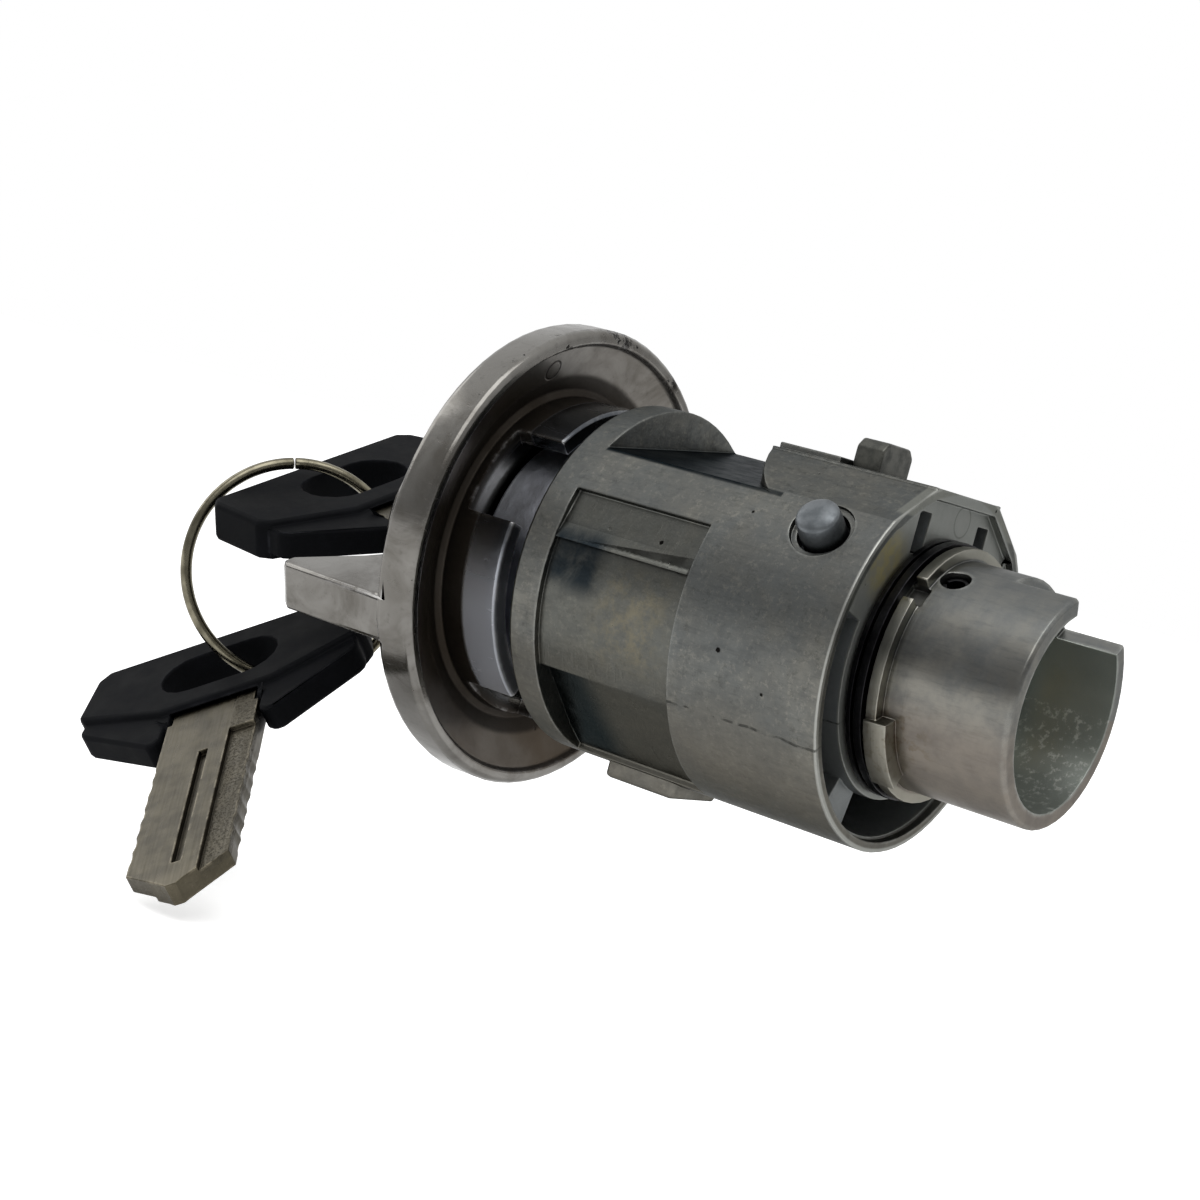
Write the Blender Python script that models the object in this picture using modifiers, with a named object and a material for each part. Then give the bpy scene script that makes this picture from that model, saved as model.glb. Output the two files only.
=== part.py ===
"""Ignition lock cylinder: die-cast housing, bezel knob, wafer plug, drive sleeve, key and spare on a ring.

The lock's axis is X: the keyhole faces -X and the drive sleeve leaves at +X. Z points through the
latch boss. The origin lies on the axis in the plane of the knob's rear rim. Angles round the axis are
polar angles measured from -Y towards +Z.
"""
import bpy
import bmesh
from math import acos, cos, degrees, pi, radians, sin, sqrt
from mathutils import Matrix, Vector

# Clearances
SEAT_GAP = 0.0003
FIT_GAP = 0.0003
WELD = 0.000001
OVERRUN = 0.002
CUT_OVERLAP = 0.0001

# Facets round a circle
STEPS_LARGE = 72
STEPS_MEDIUM = 48
STEPS_SMALL = 24
ARC_STEP = 5.0
DOME_STEP = 15
NOSE_STEPS = 24
SLOT_END_STEPS = 8
COIL_POINTS = 8
SMALL_COIL_POINTS = 6
SHARP_ANGLE = radians(32)
BEVEL_ANGLE = radians(40)

# Rotor: everything that turns with the key
ROTOR_TURN = radians(23.5)

# Bezel knob
KNOB_RADIUS = 0.0230
KNOB_RIM_LENGTH = 0.0044
KNOB_RIM_ROUND = 0.0007
KNOB_LIP = 0.0013
KNOB_DISH_DEPTH = 0.0026
KNOB_WEB = 0.0028
HUB_RADIUS = 0.0098
HUB_WALL = 0.0011
HUB_HEIGHT = 0.0114
HUB_FRONT_WALL = 0.0013
SKIRT_RADIUS = 0.0160
SKIRT_WALL = 0.0016
SKIRT_LENGTH = 0.0044
SKIRT_WINDOW_DEGREES = 34.0
SKIRT_WINDOW_CENTRES = (51.0, -51.0, 129.0, -129.0)
SKIRT_WINDOW_START = -0.0012
EAR_HEIGHT = 0.0128
EAR_TIP = 0.0020
EAR_CHAMFER_ALONG = 0.0012
EAR_CHAMFER_ACROSS = 0.0009
EAR_THICKNESS = 0.0048
EAR_EDGE_ROUND = 0.0006
EAR_FOOT_RADIUS = 0.0092

# Plug
PLUG_RADIUS = 0.0066
PLUG_HEAD_RADIUS = 0.0080
PLUG_HEAD_LENGTH = 0.0013
PLUG_TAIL_RADIUS = 0.0050
PLUG_TAIL_LENGTH = 0.0098
PLUG_TAIL_CHAMFER = 0.0005
DRIVE_LUG_WIDTH = 0.0030
DRIVE_LUG_REACH = 0.0007
FACE_CAP_THICKNESS = 0.0004

# Key blade, measured from the front edge of the head
BLADE_WIDTH = 0.0100
BLADE_THICKNESS = 0.0023
BLADE_LENGTH = 0.0274
BLADE_TIP_LENGTH = 0.0038
BLADE_TIP_WIDTH = 0.0020
BLADE_TANG_LENGTH = 0.0034
BLADE_TANG_WIDTH = 0.0090
BLADE_GROOVE_WIDTH = 0.0009
BLADE_GROOVE_DEPTH = 0.0006
BLADE_GROOVE_START = 0.0039
BLADE_STEP_OFFSET = 0.0024
BLADE_STEP_DEPTH = 0.0005
BLADE_STEP_START = 0.0011
CUT_FLAT = 0.0008
CUT_RAMP_SHARE = 0.45
CUT_FIRST = 0.0058
CUT_LAST_MARGIN = 0.0028
CUT_DEPTHS = (0.0005, 0.0009, 0.0004, 0.0010, 0.0006, 0.0011, 0.0008)
CUT_SPAN = BLADE_LENGTH - BLADE_TIP_LENGTH - CUT_FIRST - CUT_LAST_MARGIN
CUT_PITCH = CUT_SPAN / (len(CUT_DEPTHS) - 1)

# Key head
HEAD_LENGTH = 0.0186
HEAD_THICKNESS = 0.0042
HEAD_END_WIDTH = 0.0272
HEAD_WIDTH = 0.0316
HEAD_END_CORNER = 0.0014
HEAD_CORNER_WIDTH = 0.0297
GRIP_LENGTH = 0.0136
GRIP_FRONT_WIDTH = 0.0120
GRIP_SHOULDER = 0.0040
GRIP_CORNER_SINK = 0.0006
HEAD_EDGE_ROUND = 0.0008
CHEEK_THICKNESS = 0.0029
CHEEK_SHOULDER = 0.0064
CHEEK_FRONT_WIDTH = 0.0144
CHEEK_NOTCH_DEPTH = 0.0036
CHEEK_ROUND = 0.0004
HEAD_SLOT_LENGTH = 0.0130
HEAD_SLOT_WIDTH = 0.0070
HEAD_SLOT_CENTRE = 0.0069

# Wafers
WAFER_THICKNESS = 0.0011
WAFER_SIDE_WALL = 0.0010
WAFER_TAB_REACH = 0.0015
WAFER_TAB_WIDTH = 0.0012
WAFER_SPRING_RADIUS = 0.00065
WAFER_SPRING_WIRE = 0.00014
WAFER_SPRING_TURNS = 4
WAFER_SPRING_LENGTH = 0.0026
BROACH_DEPTH = 0.0009

# Housing
HOUSING_RADIUS = 0.0171
HOUSING_FRONT = 0.0068
HOUSING_REAR = 0.0410
SPIGOT_RADIUS = 0.0124
NECK_RADIUS = 0.0084
COLLAR_LENGTH = 0.0033
HOUSING_CHAMFER = 0.0004
WAIST_SINK = 0.0006
WAIST_RADIUS = HOUSING_RADIUS - WAIST_SINK
WAIST_FROM_REAR = 0.0159
WAIST_END = HOUSING_REAR - WAIST_FROM_REAR
RIM_WALL = 0.0010
RIM_HEIGHT = 0.0008
BEARING_RADIUS = 0.0109
BEARING_WALL = 0.0015
BEARING_LENGTH = 0.0036
POCKET_DEPTH = 0.0140
POCKET_LEDGE = 0.0003
POCKET_RIB_OVERLAP = 1.0
POCKETS = ((-62.0, 14.5), (-132.0, -78.0), (165.5, 212.0))
RIB_RECESS = 0.0012
TOP_FLAT_SINK = 0.0038
TOP_FLAT_HEIGHT = HOUSING_RADIUS - TOP_FLAT_SINK
TOP_FLAT_TILT = radians(7.4)
BOSS_SINK = 0.0012
BOSS_HEIGHT = HOUSING_RADIUS - BOSS_SINK
BOSS_LENGTH = 0.0182
BOSS_NOSE = HOUSING_REAR - BOSS_LENGTH
BOSS_NOSE_RADIUS = 0.0135
BOSS_FLANK_DEGREES = 58.2
BOSS_FLANK_SINK = 0.00044
BOSS_FLANK_HEIGHT = HOUSING_RADIUS - BOSS_FLANK_SINK
FLANK_CUT_REACH = 0.0060
FLANK_CUT_UP = 0.0030
FLANK_CUT_DOWN = 0.0040
PAD_HEIGHT = 0.0006
PAD_WIDTH = 0.0088
PAD_FROM_REAR = 0.0114
PAD_END = HOUSING_REAR - PAD_FROM_REAR
REAR_SLOT_SPACING = 0.0112
REAR_SLOT_WIDTH = 0.0021
REAR_SLOT_HEIGHT = 0.0038
REAR_SLOT_SINK = 0.0042
REAR_SLOT_CENTRE = BOSS_HEIGHT - REAR_SLOT_SINK
REAR_SLOT_DEPTH = 0.0060
REAR_NOTCH_SIZE = 0.0014
REAR_NOTCH_SINK = 0.00197
REAR_NOTCH_DEGREES = 135.5
SIDE_PANEL_LOW = 15.2
SIDE_PANEL_HIGH = 26.6
SIDE_PANEL_SINK = 0.0006
LOWER_FLAT_CENTRE = -54.0
LOWER_FLAT_HALF = 21.5
CORNER_FACET_SINK = 0.0009
CORNER_FACET_LENGTH = 0.0059
CORNER_FACET_DEGREES = 33.0
FOOT_RIB_WIDTH = 0.0080
FOOT_RIB_REACH = 0.0011
FOOT_RIB_START = 0.0135
FOOT_RIB_END = 0.0215

# Retaining plunger on the housing's flank
PLUNGER_FROM_REAR = 0.0058
PLUNGER_X = HOUSING_REAR - PLUNGER_FROM_REAR
PLUNGER_DEGREES = 35.5
PLUNGER_RADIUS = 0.00205
PLUNGER_PROUD = 0.0020
PLUNGER_DOME = 0.0013
PLUNGER_FLANGE = 0.00055
PLUNGER_FLANGE_LENGTH = 0.0008
PLUNGER_TRAVEL = 0.0018
PLUNGER_LIP = 0.0012
PLUNGER_SPOTFACE = 0.0029
PLUNGER_SPOTFACE_DEPTH = 0.0006
PLUNGER_CORE = 0.00125
PLUNGER_SPRING_TURNS = 4
COIL_WIRE = 0.00016

# Latch bolt on top of the boss
BOLT_FROM_REAR = 0.0096
BOLT_X = HOUSING_REAR - BOLT_FROM_REAR
BOLT_LENGTH = 0.0029
BOLT_WIDTH = 0.0056
BOLT_PROUD = 0.0029
BOLT_FOOT = 0.0010
BOLT_FOOT_HEIGHT = 0.0009
BOLT_TRAVEL = 0.0024
BOLT_LIP = 0.0024
BOLT_CORE = 0.0010
BOLT_TOP_CHAMFER = 0.0008
LATCH_SPRING_TURNS = 6

# Drive sleeve and its rings
SLEEVE_RADIUS = 0.0106
SLEEVE_WALL = 0.0016
SLEEVE_REACH = 0.0145
SLEEVE_BORE_DEPTH = 0.0085
SLEEVE_END = HOUSING_REAR + SLEEVE_REACH
SLEEVE_FLOOR = SLEEVE_END - SLEEVE_BORE_DEPTH
SLEEVE_COLLAR_RADIUS = 0.0117
SLEEVE_COLLAR_LENGTH = 0.0011
SLEEVE_SLOT_CENTRE = 127.5
SLEEVE_SLOT_DEGREES = 71.0
SLEEVE_SLOT_DEPTH = 0.0060
SLEEVE_NOTCH_CENTRE = 61.0
SLEEVE_NOTCH_DEGREES = 11.0
SLEEVE_LUG_CENTRE = -17.4
SLEEVE_LUG_DEGREES = 34.0
SLEEVE_LUG_REACH = 0.0016
SLEEVE_LUG_LENGTH = 0.0024
CROSS_PIN_REACH = 0.0039
CROSS_PIN_X = HOUSING_REAR + CROSS_PIN_REACH
CROSS_PIN_DEGREES = 78.0
CROSS_PIN_RADIUS = 0.00115
CROSS_PIN_WALL = 0.00035
CROSS_PIN_SUNK = 0.0006
CROSS_PIN_SEAM = 12.0
CROSS_PIN_STEP = 14.0
PIN_GAP = 0.0002
RING_THICKNESS = 0.0008
WAVE_THICKNESS = 0.0005
RING_REACH = 0.0013
RING_BORE_GAP = 0.0002

# Key ring and spare key, placed from the front edge of the inserted key's head
RING_WIRE = 0.0006
RING_RADIUS = 0.0113
RING_BUTT_DEGREES = 3.0
RING_BUTT_TURN = 95.0
RING_STEPS = 56
RING_CENTRE = (-0.01363, -0.00727, -0.00675)
RING_NORMAL = (-0.746, 0.536, -0.396)
RING_PIVOT = (-0.01094, 0.00143, -0.00006)
SPARE_PLACE = (-0.00727, -0.02564, -0.01740)
SPARE_TURN = (radians(-159.1), radians(5.3), radians(-51.0))
SPARE_PIVOT = (-0.01415, -0.01444, -0.01547)

# Levels that follow from the sizes above
knob_front = -KNOB_RIM_LENGTH
web_back = knob_front + KNOB_WEB
hub_front = knob_front - HUB_HEIGHT
head_seat = hub_front + PLUG_HEAD_LENGTH + SEAT_GAP
hub_inner_front = head_seat + HUB_FRONT_WALL
neck_front = hub_inner_front + SEAT_GAP
hub_inner = HUB_RADIUS - HUB_WALL
spigot_front = web_back + SEAT_GAP
skirt_inner = SKIRT_RADIUS - SKIRT_WALL
plug_bore = PLUG_RADIUS + FIT_GAP
cap_front = hub_front - SEAT_GAP - FACE_CAP_THICKNESS
collar_rear = HOUSING_FRONT + COLLAR_LENGTH
rear_face = HOUSING_REAR - RIM_HEIGHT
bearing_start = HOUSING_REAR - BEARING_LENGTH
wave_start = rear_face + SEAT_GAP
washer_start = wave_start + WAVE_THICKNESS + SEAT_GAP
collar_start = washer_start + RING_THICKNESS + SEAT_GAP
sleeve_front = bearing_start + SEAT_GAP
plug_shoulder = sleeve_front - SEAT_GAP * 2
plug_end = plug_shoulder + PLUG_TAIL_LENGTH
tail_bore = PLUG_TAIL_RADIUS + FIT_GAP
sleeve_bore = SLEEVE_RADIUS - SLEEVE_WALL
head_front = cap_front - SEAT_GAP
slot_half_width = BLADE_WIDTH / 2 + FIT_GAP
slot_half_thickness = BLADE_THICKNESS / 2 + FIT_GAP
wafer_half = slot_half_thickness + WAFER_SIDE_WALL
wafer_slot_half = wafer_half + FIT_GAP / 2
wafer_count = len(CUT_DEPTHS)

# Directions of a flat outline: its X and Y, then the way it is pushed out
ALONG_X = Matrix(((0, 0, 1), (1, 0, 0), (0, 1, 0))).to_4x4()
ALONG_Z = Matrix.Identity(4)
LATHE_X = Matrix(((0, 0, 1), (1, 0, 0), (0, 1, 0))).to_4x4()


def clear_scene():
    for item in list(bpy.data.objects):
        bpy.data.objects.remove(item, do_unlink=True)


def new_collection(name):
    collection = bpy.data.collections.new(name)
    bpy.context.scene.collection.children.link(collection)
    return collection


def material(name, colour, roughness, metallic):
    made = bpy.data.materials.new(name)
    made.use_nodes = True
    shader = made.node_tree.nodes["Principled BSDF"]
    shader.inputs["Base Color"].default_value = (*colour, 1.0)
    shader.inputs["Roughness"].default_value = roughness
    shader.inputs["Metallic"].default_value = metallic
    return made


def polar(radius, angle_degrees):
    """A point of the YZ plane at an angle measured from -Y towards +Z."""
    angle = radians(angle_degrees)
    return (-radius * cos(angle), radius * sin(angle))


def arc(radius, start, end, step=ARC_STEP):
    """Points of an arc in the YZ plane, both ends included."""
    count = max(2, int(abs(end - start) / step) + 1)
    return [polar(radius, start + (end - start) * index / count) for index in range(count + 1)]


def sector(inner, outer, start, end, step=ARC_STEP):
    """Outline of a ring sector in the YZ plane."""
    return arc(outer, start, end, step) + arc(inner, end, start, step)


def rectangle(left, right, low, high):
    return [(left, low), (right, low), (right, high), (left, high)]


def circle(centre, radius, steps):
    angles = [2 * pi * index / steps for index in range(steps)]
    return [(centre[0] + radius * cos(angle), centre[1] + radius * sin(angle)) for angle in angles]


def weld(mesh):
    """Close the seams of a fresh mesh and turn its faces outward."""
    work = bmesh.new()
    work.from_mesh(mesh)
    bmesh.ops.remove_doubles(work, verts=work.verts, dist=WELD)
    bmesh.ops.recalc_face_normals(work, faces=work.faces)
    work.to_mesh(mesh)
    work.free()
    mesh.shade_smooth()
    mesh.set_sharp_from_angle(angle=SHARP_ANGLE)
    return mesh


def baked(source, frame):
    """The welded mesh of a temporary curve or object, moved into a frame."""
    bpy.context.scene.collection.objects.link(source)
    depsgraph = bpy.context.evaluated_depsgraph_get()
    mesh = bpy.data.meshes.new_from_object(source.evaluated_get(depsgraph))
    bpy.data.objects.remove(source, do_unlink=True)
    mesh.transform(frame)
    return weld(mesh)


def prism(outlines, low, high, frame=ALONG_X):
    """Flat outline, with any holes as further outlines, pushed out between two levels."""
    curve = bpy.data.curves.new("outline", "CURVE")
    curve.dimensions = "2D"
    curve.fill_mode = "BOTH"
    curve.extrude = (high - low) / 2
    for outline in outlines:
        spline = curve.splines.new("POLY")
        spline.points.add(len(outline) - 1)
        for point, (across, up) in zip(spline.points, outline):
            point.co = (across, up, 0.0, 1.0)
        spline.use_cyclic_u = True
    middle = Matrix.Translation((0, 0, (low + high) / 2))
    return baked(bpy.data.objects.new("outline", curve), frame @ middle)


def turned(profile, steps, frame=LATHE_X, closed=True):
    """Profile of (radius, level) points turned round the frame's third axis."""
    mesh = bpy.data.meshes.new("profile")
    count = len(profile)
    edges = [(index, index + 1) for index in range(count - 1)]
    if closed:
        edges.append((count - 1, 0))
    mesh.from_pydata([(radius, 0.0, level) for radius, level in profile], edges, [])
    source = bpy.data.objects.new("profile", mesh)
    screw = source.modifiers.new("turn", "SCREW")
    screw.steps = steps
    screw.render_steps = steps
    screw.use_merge_vertices = True
    screw.merge_threshold = WELD
    return baked(source, frame)


def coil(radius, wire, turns, low, high, frame, points_per_turn=COIL_POINTS):
    """Open coil spring whose wire centre winds from one level to the other."""
    curve = bpy.data.curves.new("coil", "CURVE")
    curve.dimensions = "3D"
    curve.bevel_depth = wire
    curve.bevel_resolution = 1
    curve.use_fill_caps = True
    total = turns * points_per_turn
    spline = curve.splines.new("POLY")
    spline.points.add(total)
    for index, point in enumerate(spline.points):
        angle = 2 * pi * index / points_per_turn
        level = low + wire + (high - low - 2 * wire) * index / total
        point.co = (radius * cos(angle), radius * sin(angle), level, 1.0)
    return baked(bpy.data.objects.new("coil", curve), frame)


def rounded(mesh, width, segments=2):
    """The mesh with its sharp edges bevelled."""
    source = bpy.data.objects.new("rounded", mesh)
    bevel = source.modifiers.new("round", "BEVEL")
    bevel.width = width
    bevel.segments = segments
    bevel.limit_method = "ANGLE"
    bevel.angle_limit = BEVEL_ANGLE
    return baked(source, ALONG_Z)


def part(name, mesh, finish, parent=None):
    made = bpy.data.objects.new(name, mesh)
    mesh.name = name
    mesh.materials.clear()
    mesh.materials.append(finish)
    made.parent = parent
    parts.objects.link(made)
    return made


def combine(target, mesh, operation):
    """Cut or join a mesh, given in the target's own coordinates, with a live Boolean."""
    tool = bpy.data.objects.new(target.name + "_" + operation.lower(), mesh)
    tool.parent = target.parent
    tool.matrix_basis = target.matrix_basis
    tool.hide_render = True
    tool.display_type = "WIRE"
    cutters.objects.link(tool)
    boolean = target.modifiers.new(operation.lower(), "BOOLEAN")
    boolean.operation = operation
    boolean.solver = "EXACT"
    boolean.object = tool


def cut(target, mesh):
    combine(target, mesh, "DIFFERENCE")


def join(target, mesh):
    combine(target, mesh, "UNION")


def radial_frame(level, angle_degrees):
    """Frame at a level on the axis whose Z points outward at a polar angle."""
    across, up = polar(1.0, angle_degrees)
    outward = Vector((0.0, across, up))
    along = Vector((1.0, 0.0, 0.0))
    side = outward.cross(along)
    turn = Matrix((along, side, outward)).transposed().to_4x4()
    return Matrix.Translation((level, 0.0, 0.0)) @ turn


def empty(name, location=(0.0, 0.0, 0.0), turn=0.0, parent=None):
    made = bpy.data.objects.new(name, None)
    made.location = location
    made.rotation_euler = (turn, 0.0, 0.0)
    made.parent = parent
    parts.objects.link(made)
    return made


def side_section(distance, angle_degrees, half_degrees):
    """Outline outside a chord of the housing: it leaves a flat at a distance from the axis."""
    reach = HOUSING_RADIUS + OVERRUN
    angle = radians(angle_degrees)
    outward = (-cos(angle), sin(angle))
    along = (sin(angle), cos(angle))
    half = distance * sin(radians(half_degrees)) / cos(radians(half_degrees))
    corners = ((distance, -half), (distance, half), (reach, half), (reach, -half))
    return [(outward[0] * out + along[0] * side, outward[1] * out + along[1] * side)
            for out, side in corners]


def housing_profile():
    """Half section of the casting before its flats, pockets and holes are cut."""
    chamfer = HOUSING_CHAMFER
    return [(plug_bore, neck_front), (NECK_RADIUS, neck_front), (NECK_RADIUS, spigot_front),
            (SPIGOT_RADIUS - chamfer, spigot_front), (SPIGOT_RADIUS, spigot_front + chamfer),
            (SPIGOT_RADIUS, HOUSING_FRONT), (HOUSING_RADIUS - chamfer, HOUSING_FRONT),
            (HOUSING_RADIUS, HOUSING_FRONT + chamfer), (HOUSING_RADIUS, HOUSING_REAR),
            (BEARING_RADIUS, HOUSING_REAR), (BEARING_RADIUS, bearing_start), (plug_bore, bearing_start)]


def rear_recess():
    """Outline inside the raised rim of the rear face, following the boss."""
    arc_radius = HOUSING_RADIUS - RIM_WALL
    distance = BOSS_FLANK_HEIGHT - RIM_WALL
    top = BOSS_HEIGHT - RIM_WALL
    slope = radians(BOSS_FLANK_DEGREES)
    corner = (distance - top * sin(slope)) / cos(slope)
    meet = BOSS_FLANK_DEGREES - degrees(acos(distance / arc_radius))
    return arc(arc_radius, 180 - meet, 360 + meet) + [(-corner, top), (corner, top)]


def flank_plane(side):
    """Outline above the sloping flank of the boss, on one side of the XZ plane."""
    slope = radians(BOSS_FLANK_DEGREES)
    outward = (side * cos(slope), sin(slope))
    along = (side * sin(slope), -cos(slope))
    low, high, reach = -FLANK_CUT_UP, FLANK_CUT_DOWN, FLANK_CUT_REACH
    foot = (outward[0] * BOSS_FLANK_HEIGHT, outward[1] * BOSS_FLANK_HEIGHT)
    corners = ((0.0, low), (0.0, high), (reach, high), (reach, low))
    points = [(foot[0] + outward[0] * out + along[0] * run, foot[1] + outward[1] * out + along[1] * run)
              for out, run in corners]
    return points if side < 0 else points[::-1]


def add_boss_faces(housing):
    """Flat behind the collar, rounded nose of the boss, its top, pad and flanks."""
    nose_centre = BOSS_NOSE + BOSS_NOSE_RADIUS
    reach = HOUSING_RADIUS + OVERRUN
    nose = []
    for index in range(NOSE_STEPS + 1):
        angle = radians(90 + 180 * index / NOSE_STEPS)
        nose.append((nose_centre + BOSS_NOSE_RADIUS * cos(angle), BOSS_NOSE_RADIUS * sin(angle)))
    near_side = [(collar_rear, -reach), (nose_centre, -reach)]
    far_side = [(nose_centre, reach), (collar_rear, reach)]
    plan = near_side + nose[::-1] + far_side
    tilt = Matrix.Rotation(TOP_FLAT_TILT, 4, "X")
    cut(housing, prism([plan], TOP_FLAT_HEIGHT, reach + OVERRUN, tilt))
    top = BOSS_HEIGHT
    cut(housing, prism([rectangle(-reach, reach, top, reach)], PAD_END, HOUSING_REAR + OVERRUN))
    for side in (-1, 1):
        inner = side * PAD_WIDTH / 2
        edges = sorted((inner, side * reach))
        cut(housing, prism([rectangle(*edges, top, reach)], collar_rear + OVERRUN, PAD_END + CUT_OVERLAP))
        cut(housing, prism([flank_plane(side)], BOSS_NOSE - OVERRUN, HOUSING_REAR + OVERRUN))
    above_pad = rectangle(-reach, reach, top + PAD_HEIGHT, reach)
    cut(housing, prism([above_pad], collar_rear + OVERRUN, PAD_END + OVERRUN))


def add_waist(housing):
    """Reduced near side between collar and step, with its sunk panel and lower flat."""
    reach = HOUSING_RADIUS + OVERRUN
    low_edge = LOWER_FLAT_CENTRE - LOWER_FLAT_HALF
    cut(housing, prism([sector(WAIST_RADIUS, reach, low_edge, SIDE_PANEL_LOW)], collar_rear, WAIST_END))
    middle = (SIDE_PANEL_LOW + SIDE_PANEL_HIGH) / 2
    half = (SIDE_PANEL_HIGH - SIDE_PANEL_LOW) / 2
    depth = HOUSING_RADIUS * cos(radians(half)) - SIDE_PANEL_SINK
    cut(housing, prism([side_section(depth, middle, half)], collar_rear, WAIST_END))
    chord = WAIST_RADIUS * cos(radians(LOWER_FLAT_HALF))
    cut(housing, prism([side_section(chord, LOWER_FLAT_CENTRE, LOWER_FLAT_HALF)], collar_rear, WAIST_END))


def wedge(corners, push):
    """Solid between a triangle and its copy pushed outward."""
    mesh = bpy.data.meshes.new("wedge")
    outer = [tuple(value + move for value, move in zip(corner, push)) for corner in corners]
    faces = [(0, 1, 2), (5, 4, 3), (0, 3, 4, 1), (1, 4, 5, 2), (2, 5, 3, 0)]
    mesh.from_pydata(list(corners) + outer, [], faces)
    return weld(mesh)


def add_corner_facet(housing):
    """Triangular facet that dips towards the collar beside the lower flat."""
    upper = LOWER_FLAT_CENTRE + LOWER_FLAT_HALF
    lower = upper - CORNER_FACET_DEGREES
    chord = WAIST_RADIUS * cos(radians(LOWER_FLAT_HALF))
    lower_radius = chord / cos(radians(lower - LOWER_FLAT_CENTRE))
    corners = [(collar_rear, *polar(WAIST_RADIUS - CORNER_FACET_SINK, upper)),
               (collar_rear + CORNER_FACET_LENGTH, *polar(WAIST_RADIUS, upper)),
               (collar_rear, *polar(lower_radius, lower))]
    across, up = polar(OVERRUN * 2, LOWER_FLAT_CENTRE)
    cut(housing, wedge(corners, (0.0, across, up)))


def add_foot_rib(housing):
    half = FOOT_RIB_WIDTH / 2
    low = -HOUSING_RADIUS - FOOT_RIB_REACH
    section = rectangle(-half, half, low, -HOUSING_RADIUS + FOOT_RIB_REACH * 2)
    rib = prism([section], FOOT_RIB_START, FOOT_RIB_END)
    join(housing, rounded(rib, FOOT_RIB_REACH / 2))


def add_rear_pockets(housing):
    """Recess inside the rim, cored ring pockets, the rib between them, and the core slots."""
    inner = BEARING_RADIUS + BEARING_WALL
    outer = HOUSING_RADIUS - RIM_WALL - POCKET_LEDGE
    floor = HOUSING_REAR - POCKET_DEPTH
    for start, end in POCKETS:
        cut(housing, prism([sector(inner, outer, start, end)], floor, HOUSING_REAR + OVERRUN))
    rib_start, rib_end = POCKETS[1][1], POCKETS[0][0]
    rib = sector(inner, outer, rib_start - POCKET_RIB_OVERLAP, rib_end + POCKET_RIB_OVERLAP)
    cut(housing, prism([rib], rear_face - RIB_RECESS, HOUSING_REAR + OVERRUN))
    for side in (-1, 1):
        centre = side * REAR_SLOT_SPACING / 2
        slot = rectangle(centre - REAR_SLOT_WIDTH / 2, centre + REAR_SLOT_WIDTH / 2,
                         REAR_SLOT_CENTRE - REAR_SLOT_HEIGHT / 2, REAR_SLOT_CENTRE + REAR_SLOT_HEIGHT / 2)
        cut(housing, prism([slot], HOUSING_REAR - REAR_SLOT_DEPTH, HOUSING_REAR + OVERRUN))
    half = REAR_NOTCH_SIZE / 2
    across, up = polar(HOUSING_RADIUS - REAR_NOTCH_SINK, REAR_NOTCH_DEGREES)
    notch = [(across - half, up - half), (across + half, up - half), (across + half, up + half)]
    cut(housing, prism([notch], HOUSING_REAR - REAR_SLOT_DEPTH, HOUSING_REAR + OVERRUN))
    cut(housing, prism([rear_recess()], rear_face, HOUSING_REAR + OVERRUN * 2))


def plunger_levels():
    """Distances from the axis along the plunger: chamber floor, flange, lip, surface."""
    surface = HOUSING_RADIUS
    lip_top = surface - PLUNGER_SPOTFACE_DEPTH
    lip_bottom = lip_top - PLUNGER_LIP
    flange_top = lip_bottom - SEAT_GAP
    flange_bottom = flange_top - PLUNGER_FLANGE_LENGTH
    floor = flange_bottom - PLUNGER_TRAVEL - SEAT_GAP
    return floor, flange_bottom, flange_top, lip_bottom, lip_top, surface


def add_plunger_bore(housing):
    """Stepped bore whose narrow mouth is the lip staked over the plunger's flange."""
    floor, _, _, lip_bottom, lip_top, surface = plunger_levels()
    chamber = PLUNGER_RADIUS + PLUNGER_FLANGE + FIT_GAP
    mouth = PLUNGER_RADIUS + FIT_GAP
    top = surface + OVERRUN
    profile = [(0.0, top), (PLUNGER_SPOTFACE, top), (PLUNGER_SPOTFACE, lip_top), (mouth, lip_top),
               (mouth, lip_bottom), (chamber, lip_bottom), (chamber, floor), (0.0, floor)]
    cut(housing, turned(profile, STEPS_MEDIUM, radial_frame(PLUNGER_X, PLUNGER_DEGREES), closed=False))


def bolt_levels():
    """Heights of the latch bolt: pocket floor, foot bottom, foot top, lip."""
    lip = BOSS_HEIGHT - BOLT_LIP
    foot_top = lip - SEAT_GAP
    foot_bottom = foot_top - BOLT_FOOT_HEIGHT
    floor = foot_bottom - BOLT_TRAVEL - SEAT_GAP
    return floor, foot_bottom, foot_top, lip


def add_bolt_pocket(housing):
    floor, _, _, lip = bolt_levels()
    near, far = BOLT_X - BOLT_LENGTH / 2 - FIT_GAP, BOLT_X + BOLT_LENGTH / 2 + FIT_GAP
    half = BOLT_WIDTH / 2 + FIT_GAP
    wide = half + BOLT_FOOT
    outline = [(-half, HOUSING_RADIUS + OVERRUN), (-half, lip), (-wide, lip), (-wide, floor),
               (wide, floor), (wide, lip), (half, lip), (half, HOUSING_RADIUS + OVERRUN)]
    cut(housing, prism([outline], near, far))


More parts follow.
